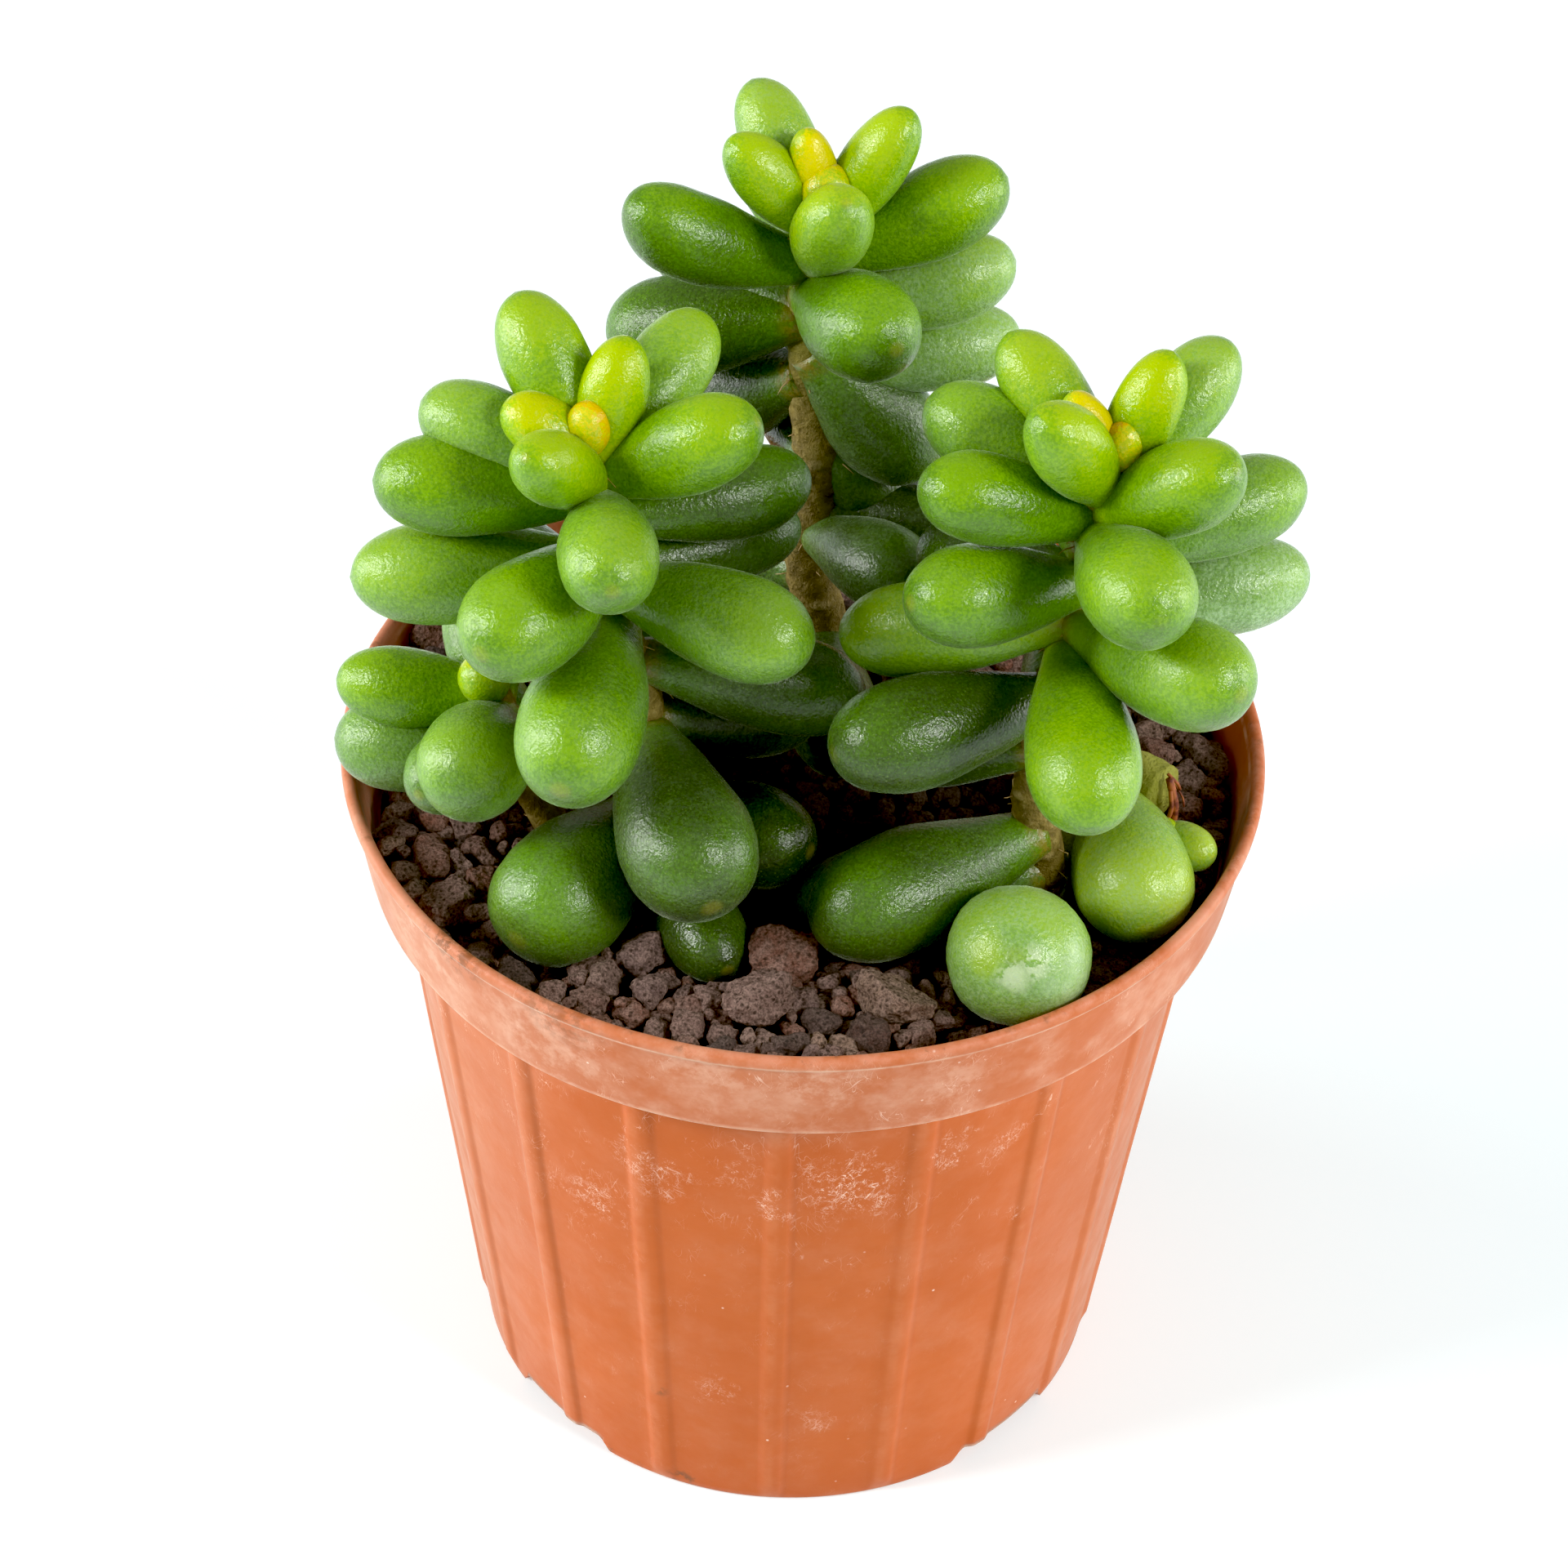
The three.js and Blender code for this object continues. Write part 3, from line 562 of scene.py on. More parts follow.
def inside_radius(z):
    """Inner radius of the pot's wall at a height in the collar."""
    up = (z - COLLAR_BOTTOM) / (POT_HEIGHT - COLLAR_BOTTOM)
    return COLLAR_LOW_RADIUS + (RIM_RADIUS - COLLAR_LOW_RADIUS) * up - WALL


def body_radius(z):
    """Outer radius of the pot's body at a height."""
    return FOOT_RADIUS + (BODY_TOP_RADIUS - FOOT_RADIUS) * z / COLLAR_BOTTOM


def bed_piece():
    """The bed of fine crumbs under the grains, down to the potting mix."""
    rings, sectors, slack = 64, 192, 0.15
    edge = COLLAR_LOW_RADIUS - WALL - slack
    place = []
    for i in range(1, rings + 1):
        for j in range(sectors):
            x, y = on_circle(edge * i / rings, j, sectors)
            flat = Vector((x, y, 0))
            crumb = waves(flat, [(0.8, 0.35), (4.5, 0.12)]) + 0.25 * abs(noise.noise(flat * 2.1))
            place.append((x, y, bed_height(x, y) + crumb - 0.35))
    inner = body_radius(COLLAR_BOTTOM) - WALL - 0.2
    low = body_radius(SOIL_TOP) - WALL - 0.2
    for out, z in ((edge, SHOULDER), (inner, SHOULDER), (low, SOIL_TOP)):
        place += [(*on_circle(out, j, sectors), z + slack) for j in range(sectors)]
    place += [(0, 0, bed_height(0, 0) - 0.3), (0, 0, SOIL_TOP + slack)]
    return mesh_object("gravel_bed", place, tube_faces(rings + 3, sectors))


def ico_sphere(level):
    shape = bmesh.new()
    bmesh.ops.create_icosphere(shape, subdivisions=level, radius=1)
    points = np.array([v.co[:] for v in shape.verts])
    faces = [tuple(v.index for v in face.verts) for face in shape.faces]
    shape.free()
    return points, faces


LUMPS = {level: ico_sphere(level) for level in (3, 4, 5)}


def add_grain(gather, centre, radius, long, level):
    """A crumbly block: a ball squared up and cut by a few planes, then roughened."""
    points, faces = LUMPS[level]
    power = rng.uniform(2.4, 4.5)
    points = points / ((np.abs(points) ** power).sum(axis=1) ** (1 / power))[:, None] * GRAIN_SIDE
    for _ in range(rng.randint(2, 5)):
        normal = np.array(Vector([rng.gauss(0, 1) for _ in range(3)]).normalized())
        over = np.clip(points @ normal - rng.uniform(0.55, 0.85), 0, None)
        points = points - np.outer(over * 0.9, normal)
    points = points * np.array([long, rng.uniform(0.8, 1), rng.uniform(0.75, 0.95)])
    seed = random_seed(90)
    rough = np.empty(len(points))
    for i, p in enumerate(points):
        v = Vector(p) * radius
        lump = 0.15 * noise.noise(v * 1.3 / radius + seed)
        knob = 0.1 * noise.noise(v * 1.9 + seed)
        crumb = 0.16 * (0.42 - noise.voronoi(v * 1.5 + seed)[0][0]) / max(radius, 1)
        grit = 0.07 * noise.noise(v * 5.5 + seed) / max(radius, 0.8)
        rough[i] = 1 + lump + knob + crumb + grit
    spin = Matrix.Rotation(rng.uniform(0, 2 * math.pi), 3, "Z")
    tilt = Matrix.Rotation(rng.uniform(-0.5, 0.5), 3, "X")
    points = (points * rough[:, None]) @ np.array(spin @ tilt).T * radius + np.array(centre)
    # painted shade: grains in the middle of the pot, under the plant, are darkened
    damp = rise_to(math.hypot(centre[0] - 2, centre[1] + 2), 17, 10)
    gather.add([tuple(p) for p in points], faces, tone=rng.random(), dusk=rng.random(), damp=damp)


def gravel_pieces():
    """The grains that show best, each at its place, then others that fill what is left."""
    names = ("gravel_shown", "gravel_front", "gravel_middle", "gravel_behind")
    parts = {name: Gatherer("tone", "dusk", "damp") for name in names}
    laid = np.empty((len(SHOWN_GRAINS) + FILL_LIMIT, 4))
    count = 0
    for x, y, radius, long in SHOWN_GRAINS:
        radius *= GRAIN_SHRINK
        z = bed_height(x, y) + 0.5 * radius
        # pressed down where a leaf lies over it, and in from the pot's wall
        z -= max(0.75 * radius - clearance((x, y, z)), 0)
        z = max(z, SHOULDER + 0.6)
        out = math.hypot(x, y)
        room = inside_radius(z) - 0.2 - radius * GRAIN_SIDE
        if out > room:
            x, y = x * room / out, y * room / out
        laid[count] = (x, y, z, radius)
        count += 1
        add_grain(parts["gravel_shown"], (x, y, z), radius, long, 5 if radius > 1.5 else 4)
    for n in range(FILL_TRIES):
        if count == len(laid):
            break
        angle, out = rng.uniform(0, 2 * math.pi), FILL_REACH * math.sqrt(rng.random())
        # the large grains come first, the small ones fill what is left
        size = 1 - n / FILL_TRIES
        radius = FILL_SMALLEST + FILL_SPREAD * size * size * rng.uniform(0.55, 1)
        x, y = out * math.cos(angle), out * math.sin(angle)
        bed = bed_height(x, y)
        z = bed + 0.25 * radius
        known = laid[:count]
        flat = np.hypot(x - known[:, 0], y - known[:, 1])
        reach = (radius + known[:, 3]) * GRAIN_NEST
        over = flat < reach
        if over.any():
            lift = known[over, 2] + np.sqrt(reach[over] ** 2 - flat[over] ** 2) - 0.25 * radius
            z = max(z, float(lift.max()))
        if z > bed + 0.9 or z + radius > POT_HEIGHT - 0.3:
            continue
        if clearance((x, y, z)) < radius * 0.85 or out + radius * GRAIN_SIDE > inside_radius(z) - 0.15:
            continue
        laid[count] = (x, y, z, radius)
        count += 1
        # grains nearer the front have more faces
        if y < FRONT_END:
            name, level = "gravel_front", 4 if radius > 0.8 else 3
        elif y < MIDDLE_END:
            name, level = "gravel_middle", 4 if radius > 1 else 3
        else:
            name, level = "gravel_behind", 3
        add_grain(parts[name], (x, y, z), radius, rng.uniform(0.95, 1.35), level)
    return [part.build(name) for name, part in parts.items()]


# Pot


def pot_angles():
    """Angles of the pot's columns: close together on the ribs and at the ends of the slots."""
    angles = set()
    for i in range(RIB_COUNT):
        middle = 360 / RIB_COUNT * i + RIB_TURN
        for offset in (-1.05, -0.9, -0.8, -0.7, -0.6, -0.45, 0, 0.45, 0.6, 0.7, 0.8, 0.9, 1.05):
            angles.add(round((middle + math.degrees(offset / BODY_MIDDLE_RADIUS)) % 360, 3))
        for n in range(1, 8):
            angles.add(round((middle + 2.9 + 14.2 * n / 8) % 360, 3))
    for i in range(4):
        for edge in (-1, 1):
            middle = 45 + 90 * i + edge * SLOT_TURN
            for offset in (-2, -1.4, -0.8, -0.2, 0.4, 1.0, 1.6):
                angles.add(round((middle + offset) % 360, 3))
    found = sorted(angles)
    return [a for a, b in zip(found, found[1:] + [found[0] + 360]) if b - a > 0.12]


def slot_height(angle):
    """Height of the wall's lower edge: the four slots between the feet have soft ends."""
    off = abs((angle % 90) - 45) - SLOT_TURN
    return SLOT_HEIGHT * (1 - rise_to(off, -1.6, 1.4))


def rib_relief(angle, z):
    """How far a rib stands out from the body at an angle and a height."""
    off = (angle - RIB_TURN + 180 / RIB_COUNT) % (360 / RIB_COUNT) - 180 / RIB_COUNT
    distance = abs(math.radians(off) * body_radius(z))
    ends = rise_to(z, 0.2, 1.4) * (1 - rise_to(z, 39.2, 40.0) * 0.5)
    return RIB_RELIEF * (1 - rise_to(distance, RIB_HALF - 0.45, RIB_HALF + 0.3)) * ends


def pot_rows():
    """Rings from under the floor, up the outside and down the inside: kind, radius and height."""
    foot = FOOT_RADIUS - 2 * WALL
    low = COLLAR_LOW_RADIUS
    high = RIM_RADIUS - LIP_RELIEF
    lip = POT_HEIGHT - LIP_HEIGHT
    feet = [(foot, 0.3), (foot + 0.1, 0.06), (foot + 0.3, 0)]
    feet += [(FOOT_RADIUS - 0.3, 0), (FOOT_RADIUS - 0.08, 0.07)]
    body = [(None, z) for z in (0.25, 0.7, 1.3, 2, 3, *np.linspace(5, 39, 18).tolist(), 39.6, 40.0)]
    edge = [(BODY_TOP_RADIUS + 0.2, 0), (low - 0.35, 0)]
    edge += [(low - 0.1, 0.06), (low + 0.02, 0.22), (low + 0.06, 0.5)]
    collar = [(out, COLLAR_BOTTOM + up) for out, up in edge]
    for t in np.linspace(0.12, 0.94, 8):
        collar.append((low + (high - low) * t, COLLAR_BOTTOM + (lip - COLLAR_BOTTOM) * t))
    collar += [(high, lip - 0.12), (high + 0.05, lip)]
    turned = [(-0.06, 0.12), (0, 0.3), (0, 0.55), (-0.07, 0.76), (-0.22, 0.88), (-0.38, 0.9), (-0.56, 0.86)]
    rim = [(RIM_RADIUS + out, lip + up) for out, up in [*turned, (-WALL, 0.7)]]
    inside = []
    for t in np.linspace(0.08, 0.96, 8):
        inside.append((RIM_RADIUS - WALL + (low - RIM_RADIUS) * t, POT_HEIGHT - (POT_HEIGHT - SHOULDER) * t))
    inner_top = BODY_TOP_RADIUS - WALL
    inside += [(low - WALL - 0.1, SHOULDER), (inner_top + 0.1, SHOULDER), (inner_top, 40.6)]
    inside += [(body_radius(z) - WALL, z) for z in np.linspace(38, FLOOR_TOP + 0.3, 8).tolist()]
    inside += [(body_radius(FLOOR_TOP) - WALL - 0.2, FLOOR_TOP), (foot - 4, FLOOR_TOP)]
    under = [(foot - 4, FOOT_HEIGHT), (foot, FOOT_HEIGHT)]
    kinds = {"under": under, "foot": feet, "body": body, "collar": collar, "rim": rim, "inside": inside}
    return [(kind, out, z) for kind, rows in kinds.items() for out, z in rows]


def wall_point(kind, radius, z, angle):
    """A point of the pot's surface, with ribs, slots and the slight unevenness of thin plastic."""
    a = math.radians(angle)
    lift = slot_height(angle)
    height = z
    if kind == "body":
        if z < 3:
            height = max(lift + (z - lift * (1 - z / 3)), lift + 0.05)
        radius = body_radius(height) + rib_relief(angle, height)
    elif kind == "foot":
        height = z + lift
    d = Vector((math.cos(a) * 14, math.sin(a) * 14, height * 0.6))
    if kind not in ("under", "foot"):
        radius += waves(d, [(0.16, 0.05), (0.8, 0.012)])
    if kind == "rim":
        height = min(height - 0.02 + waves(d, [(0.25, 0.05), (1.6, 0.015)]), POT_HEIGHT)
    return radius * math.cos(a), radius * math.sin(a), height


def hole_cutter():
    """Short rods where the drainage holes go through the pot's floor."""
    sides = 40
    rods = Gatherer()
    for i in range(HOLE_COUNT):
        x, y = on_circle(HOLE_CIRCLE, i - HOLE_COUNT / 4, HOLE_COUNT)
        ends = (FOOT_HEIGHT - 0.9, FLOOR_TOP + 0.9)
        circle = [on_circle(HOLE_RADIUS, j, sides) for j in range(sides)]
        rod = [(x + across, y + up, z) for z in ends for across, up in circle]
        rods.add([*rod, *((x, y, z) for z in ends)], tube_faces(2, sides))
    return rods.build("drills")


def pot_piece():
    """The pot's shell with its drainage holes cut out."""
    rows, angles = pot_rows(), pot_angles()
    place = [wall_point(kind, out, z, angle) for kind, out, z in rows for angle in angles]
    place += [(0, 0, FOOT_HEIGHT), (0, 0, FLOOR_TOP)]
    pot = mesh_object("pot_shell", place, tube_faces(len(rows), len(angles)))
    cutter = hole_cutter()
    cut = pot.modifiers.new("holes", "BOOLEAN")
    cut.operation = "DIFFERENCE"
    cut.solver = "EXACT"
    cut.object = cutter
    ready = bpy.data.meshes.new_from_object(pot.evaluated_get(bpy.context.evaluated_depsgraph_get()))
    pot.modifiers.clear()
    pot.data = ready
    bpy.data.objects.remove(cutter)
    pot.data.shade_smooth()
    return pot


# Materials


def rgba(colour):
    return (*colour, 1) if isinstance(colour, tuple) else colour


class Shader:
    """Builds one procedural material node by node. Its patterns lie in millimetres."""

    def __init__(self, name):
        self.material = bpy.data.materials.new(name)
        self.material.use_nodes = True
        self.tree = self.material.node_tree
        self.bsdf = next(n for n in self.tree.nodes if n.type == "BSDF_PRINCIPLED")
        metres = self.node("ShaderNodeTexCoord").outputs["Object"]
        scaled = {"Vector": metres, "Scale": 1 / MM}
        self.here = self.node("ShaderNodeVectorMath", scaled, operation="SCALE").outputs[0]

    def give(self, node, inputs):
        """Gives a node's inputs, by name or number, a value or a link."""
        for key, value in inputs.items():
            if isinstance(value, bpy.types.NodeSocket):
                self.tree.links.new(value, node.inputs[key])
            else:
                node.inputs[key].default_value = value

    def node(self, kind, inputs=None, **settings):
        made = self.tree.nodes.new(kind)
        for key, value in settings.items():
            setattr(made, key, value)
        self.give(made, inputs or {})
        return made

    def math(self, operation, *values):
        return self.node("ShaderNodeMath", dict(enumerate(values)), operation=operation).outputs[0]

    def chain(self, operation, values):
        return functools.reduce(lambda a, b: self.math(operation, a, b), values)

    def plus(self, *values):
        return self.chain("ADD", values)

    def minus(self, *values):
        return self.chain("SUBTRACT", values)

    def times(self, *values):
        return self.chain("MULTIPLY", values)

    def most(self, *values):
        return self.chain("MAXIMUM", values)

    def size(self, value):
        return self.math("ABSOLUTE", value)

    def noise(self, scale, detail=2, rough=0.5, vector=None):
        inputs = {"Vector": vector or self.here, "Scale": scale, "Detail": detail, "Roughness": rough}
        return self.node("ShaderNodeTexNoise", inputs).outputs[0]

    def cells(self, scale):
        return self.node("ShaderNodeTexVoronoi", {"Vector": self.here, "Scale": scale}).outputs[0]

    def fit(self, value, low, high, to_low=0, to_high=1):
        """Maps a value softly from its range to another one, and holds it within."""
        ends = {"Value": value, "From Min": low, "From Max": high, "To Min": to_low, "To Max": to_high}
        return self.node("ShaderNodeMapRange", ends, interpolation_type="SMOOTHSTEP").outputs[0]

    def mix(self, factor, a, b):
        """Mixes two colours."""
        inputs = {0: factor, 6: rgba(a), 7: rgba(b)}
        return self.node("ShaderNodeMix", inputs, data_type="RGBA").outputs[2]

    def ramp(self, value, stops):
        """Colours along a value, from stops of position and colour in their order."""
        made = self.node("ShaderNodeValToRGB", {0: value})
        elements = made.color_ramp.elements
        for position, colour in stops[1:-1]:
            elements.new(position).color = rgba(colour)
        for end in (0, -1):
            elements[end].position = stops[end][0]
            elements[end].color = rgba(stops[end][1])
        return made.outputs[0]

    def attribute(self, name):
        return self.node("ShaderNodeAttribute", attribute_name=name).outputs["Fac"]

    def bump(self, height, strength, distance, onto=None):
        """Raises the surface by a pattern, on top of another bump."""
        inputs = {"Height": height, "Strength": strength, "Distance": distance}
        if onto is not None:
            inputs["Normal"] = onto
        return self.node("ShaderNodeBump", inputs).outputs[0]

    def split(self):
        return self.node("ShaderNodeSeparateXYZ", {0: self.here}).outputs

    def stretch(self, x, y, z, turn):
        """Places with the pattern's axes turned, and its sizes along them divided."""
        inputs = {"Vector": self.here, "Rotation": turn, "Scale": (1 / x, 1 / y, 1 / z)}
        return self.node("ShaderNodeMapping", inputs, vector_type="TEXTURE").outputs[0]

    def finish(self, **sockets):
        """Fills the shader's own sockets and hands the material back."""
        self.give(self.bsdf, {key.replace("_", " "): value for key, value in sockets.items()})
        return self.material


def near_places(s, places, ragged=1.5):
    """A soft mask that is full at the given places and fades out raggedly around them."""
    stray = s.times(s.minus(s.noise(0.55, 3, 0.6), 0.5), ragged)
    spots = []
    for centre, reach, strength in places:
        ends = {0: s.here, 1: centre}
        away = s.node("ShaderNodeVectorMath", ends, operation="DISTANCE").outputs["Value"]
        spots.append(s.fit(s.plus(away, stray), reach, reach * 0.25, 0, strength))
    return s.most(*spots)


# Marks on the low front leaf: place, reach and strength of each
BLOOMED = [((15.7, -21.1, 48), 3, 0.5)]
YELLOWED = [((10.6, -21, 49.7), 1.7, 0.6)]
TORN = [((12.1, -21.9, 49.1), 1.4, 0.75), ((13.3, -21.6, 49.6), 1.3, 0.75)]

# Leaf colours from an orange bud through yellow to the dark green of old leaves
LEAF_COLOURS = [
    (0, (0.7, 0.34, 0.001)),
    (0.1, (0.66, 0.58, 0.002)),
    (0.25, (0.34, 0.49, 0.0005)),
    (0.42, (0.19, 0.37, 0.0005)),
    (0.58, (0.094, 0.225, 0.001)),
    (0.74, (0.052, 0.122, 0.003)),
    (0.88, (0.03, 0.063, 0.004)),
    (1, (0.018, 0.036, 0.004)),
]


def leaf_material():
    """Glossy skin with pale papillae: yellow to green by age, under more or less grey bloom."""
    s = Shader("leaf_skin")
    share, top = s.attribute("share"), s.attribute("top")
    ripe, bloom, chance = s.attribute("ripe"), s.attribute("bloom"), s.attribute("chance")
    fine = s.noise(1.6, 3, 0.6)
    dots = s.fit(s.noise(5.5, 2, 0.6), 0.58, 0.42)
    aged = ripe
    for pattern, spread in ((s.noise(0.3, 2, 0.5), 0.2), (fine, 0.14), (dots, 0.09)):
        aged = s.plus(aged, s.times(s.minus(pattern, 0.5), spread))
    # the root of a leaf and a soft field before its tip are yellower, its underside darker
    aged = s.minus(aged, s.fit(share, 0.34, 0.04, 0, 0.16))
    field = s.times(s.fit(share, 0.5, 0.85), s.fit(share, 1, 0.93), s.fit(top, -0.3, 0.8))
    aged = s.minus(aged, s.times(field, 0.14))
    aged = s.plus(aged, s.fit(top, 0.2, -0.9, 0, 0.1))
    colour = s.ramp(s.most(aged, s.times(ripe, 0.74)), LEAF_COLOURS)
    # bloom in clouds and specks, and under every leaf a little pale tint, partly bloom and partly a painted
    # reflection of the white floor
    bloom_and_painted_reflection = s.times(bloom, s.fit(s.noise(0.6, 4, 0.65), 0.25, 0.75, 0.3, 0.8))
    bloom_and_painted_reflection = s.times(bloom_and_painted_reflection, s.fit(s.noise(5, 3, 0.7), 0.4, 0.62, 0.6, 1.4))
    bloom_and_painted_reflection = s.plus(bloom_and_painted_reflection, s.times(s.fit(top, 0.1, -0.9), 0.05))
    colour = s.mix(bloom_and_painted_reflection, colour, (0.34, 0.5, 0.24))
    papillae = s.cells(4.2)
    colour = s.mix(s.times(s.fit(papillae, 0.3, 0.1), 0.17), colour, (0.36, 0.52, 0.12))
    # some leaves have a tan point at the tip, and all are brown where they leave the stem
    point = s.times(s.fit(share, 0.992, 1), s.fit(chance, 0.3, 0.9, 0, 0.25))
    colour = s.mix(point, colour, (0.4, 0.34, 0.05))
    neck = s.times(s.fit(share, 0.13, 0.02), s.fit(s.noise(2.2, 3, 0.6), 0.35, 0.6, 0.2, 0.8))
    colour = s.mix(neck, colour, (0.24, 0.17, 0.03))
    # the low front leaf is worn: a bloomed side, a yellow field and a torn pale scar
    side = s.times(near_places(s, BLOOMED), s.fit(fine, 0.3, 0.6, 0.5, 1))
    colour = s.mix(side, colour, (0.4, 0.53, 0.28))
    colour = s.mix(near_places(s, YELLOWED), colour, (0.3, 0.44, 0.01))
    torn = s.times(near_places(s, TORN), s.fit(s.noise(1.1, 3, 0.6), 0.4, 0.47))
    colour = s.mix(torn, colour, (0.52, 0.62, 0.38))
    bumps = s.bump(s.noise(2.6, 3, 0.6), 0.65, 0.00008)
    bumps = s.bump(s.noise(7.5, 2, 0.6), 0.7, 0.000042, bumps)
    bumps = s.bump(papillae, 0.4, 0.000045, bumps)
    return s.finish(
        Base_Color=colour,
        Roughness=s.fit(s.noise(3.2, 3, 0.6), 0.3, 0.7, 0.15, 0.3),
        Normal=bumps,
        IOR=1.46,
        Subsurface_Weight=0.15,
        Subsurface_Radius=(0.7, 1, 0.05),
        Subsurface_Scale=0.0016,
        Sheen_Weight=0.24,
        Sheen_Roughness=0.24,
        Sheen_Tint=(0.84, 1, 0.72, 1),
    )


def stalk_material():
    """Rough brown bark with paler scars, greener where the stem is young."""
    s = Shader("stalk_bark")
    bark = [(0.25, (0.08, 0.055, 0.012)), (0.5, (0.21, 0.15, 0.033)), (0.75, (0.4, 0.3, 0.085))]
    colour = s.ramp(s.noise(0.9, 5, 0.65), bark)
    colour = s.mix(s.fit(s.noise(3, 3), 0.58, 0.72, 0, 0.5), colour, (0.42, 0.32, 0.12))
    colour = s.mix(s.fit(s.attribute("scar"), 0.25, 0.8, 0, 0.6), colour, (0.5, 0.38, 0.16))
    colour = s.mix(s.times(s.attribute("young"), 0.78), colour, (0.36, 0.38, 0.05))
    bumps = s.bump(s.noise(1.8, 5, 0.65), 0.9, 0.0004)
    bumps = s.bump(s.noise(6, 3, 0.7), 0.8, 0.00012, bumps)
    rough = s.fit(s.noise(2.5), 0.3, 0.7, 0.65, 0.9)
    return s.finish(Base_Color=colour, Roughness=rough, Normal=bumps)


def hair_material():
    """Straw-coloured hairs, and the reddish brown of the torn sheath."""
    s = Shader("stalk_hair")
    straw = s.mix(s.noise(1.3, 2), (0.3, 0.17, 0.06), (0.6, 0.44, 0.22))
    sheath = s.mix(s.fit(s.noise(2, 3), 0.4, 0.6), (0.12, 0.022, 0.014), (0.34, 0.1, 0.03))
    return s.finish(Base_Color=s.mix(s.attribute("torn"), straw, sheath), Roughness=0.7)


def lava_material():
    """Pitted lava, each grain in its own red or grey brown."""
    s = Shader("lava_grain")
    tones = [
        (0, (0.31, 0.135, 0.095)),
        (0.3, (0.25, 0.15, 0.125)),
        (0.6, (0.32, 0.205, 0.175)),
        (0.85, (0.25, 0.165, 0.15)),
        (1, (0.38, 0.25, 0.175)),
    ]
    colour = s.ramp(s.attribute("tone"), tones)
    colour = s.mix(s.fit(s.noise(1.1, 4, 0.65), 0.3, 0.7, 0, 0.55), colour, (0.5, 0.34, 0.28))
    # painted shade darkens large and small spots that stand for pits, and pale dust lies on some places
    colour = s.mix(s.times(s.fit(s.cells(2.6), 0.42, 0.14), 0.72), colour, (0.03, 0.018, 0.015))
    small = s.fit(s.noise(7.5, 3, 0.7), 0.55, 0.42)
    colour = s.mix(s.times(small, 0.5), colour, (0.035, 0.02, 0.017))
    dust = s.fit(s.noise(5, 4, 0.7), 0.6, 0.72)
    colour = s.mix(s.times(dust, 0.5), colour, (0.42, 0.31, 0.24))
    # a few grains are nearly black, and painted shade darkens those in the middle, under the plant
    colour = s.mix(s.fit(s.attribute("dusk"), 0.85, 0.95, 0, 0.6), colour, (0.03, 0.028, 0.03))
    colour = s.mix(s.times(s.attribute("damp"), 0.86), colour, (0.014, 0.01, 0.009))
    bumps = s.bump(s.noise(2.2, 5, 0.7), 1, 0.0005)
    bumps = s.bump(s.cells(3.4), 0.8, 0.00035, bumps)
    bumps = s.bump(s.noise(9, 3, 0.7), 0.8, 0.00014, bumps)
    return s.finish(Base_Color=colour, Roughness=0.92, Normal=bumps, Specular_IOR_Level=0.25)


def soil_material():
    """Dark potting mix with paler crumbs."""
    s = Shader("dark_mix")
    mould = [(0.3, (0.006, 0.005, 0.004)), (0.55, (0.02, 0.014, 0.01)), (0.72, (0.06, 0.038, 0.028))]
    crumbs = s.fit(s.noise(4.5, 3, 0.7), 0.62, 0.75)
    colour = s.mix(s.times(crumbs, 0.5), s.ramp(s.noise(1.4, 6, 0.7), mould), (0.16, 0.1, 0.075))
    bumps = s.bump(s.noise(2.6, 5, 0.7), 1, 0.0008)
    return s.finish(Base_Color=colour, Roughness=0.95, Normal=bumps, Specular_IOR_Level=0.2)


# Rubbed and scribbled places on the pot: where they are, how far they reach, and how
# strong they are
RUBS = [
    ((-11.9, -19.8, 27.3), 2.3, 0.8), ((-7.8, -22.4, 33), 3, 0.85), ((-2.5, -23.7, 33.7), 2, 0.45),
    ((-1.1, -23.5, 31.6), 1.5, 0.8), ((3.6, -23.4, 32.8), 3.9, 1), ((9.4, -21.9, 34.6), 2, 0.9),
    ((12.7, -20.2, 34.2), 1.6, 0.6), ((-14.4, -18, 27.2), 1.6, 0.3), ((-4.1, -20.9, 11.8), 2, 0.4),
    ((1.7, -20.9, 8.7), 2, 0.4), ((-6.5, 23, 30), 3.4, 0.8), ((14, 18, 26), 2.6, 0.7),
    ((-20, 12, 33), 2.8, 0.8), ((20, 10, 20), 2.2, 0.5),
]
# Milky haze on the collar, and brown dirt on rim and foot, in the same way
HAZES = [
    ((-5, -26.8, 45.5), 5, 0.9), ((1.7, -27.1, 44.8), 4.2, 1), ((8.2, -25.6, 43.2), 5, 0.8),
    ((-14, -22.5, 43.5), 7, 0.9), ((-21, -16, 43.5), 7, 0.9), ((0, -26.5, 41), 6, 0.5),
    ((20, 17, 43), 6, 0.7), ((-16, 20, 44), 6, 0.7),
]
STAINS = [
    ((-11.6, -16.4, 0.6), 1.1, 1), ((-6.1, -19.1, 0.5), 1.5, 0.9), ((-7.6, -19.6, 10), 0.8, 0.7),
    ((-19.5, -19.4, 47.3), 3.2, 0.8), ((-13, -23.8, 47.3), 4, 0.5), ((9, 18, 0.6), 1.6, 0.8),
]


def hairlines(s, turns, scale, width):
    """Thin lines, each set at its own slant: the contour lines of a noise drawn out long."""
    lines = []
    for turn in turns:
        run = s.noise(scale, 1, 0.5, vector=s.stretch(2.4, 2.4, 0.22, (0, turn, turn * 0.2)))
        lines.append(s.fit(s.size(s.minus(run, 0.5)), width, 0))
    return s.most(*lines)


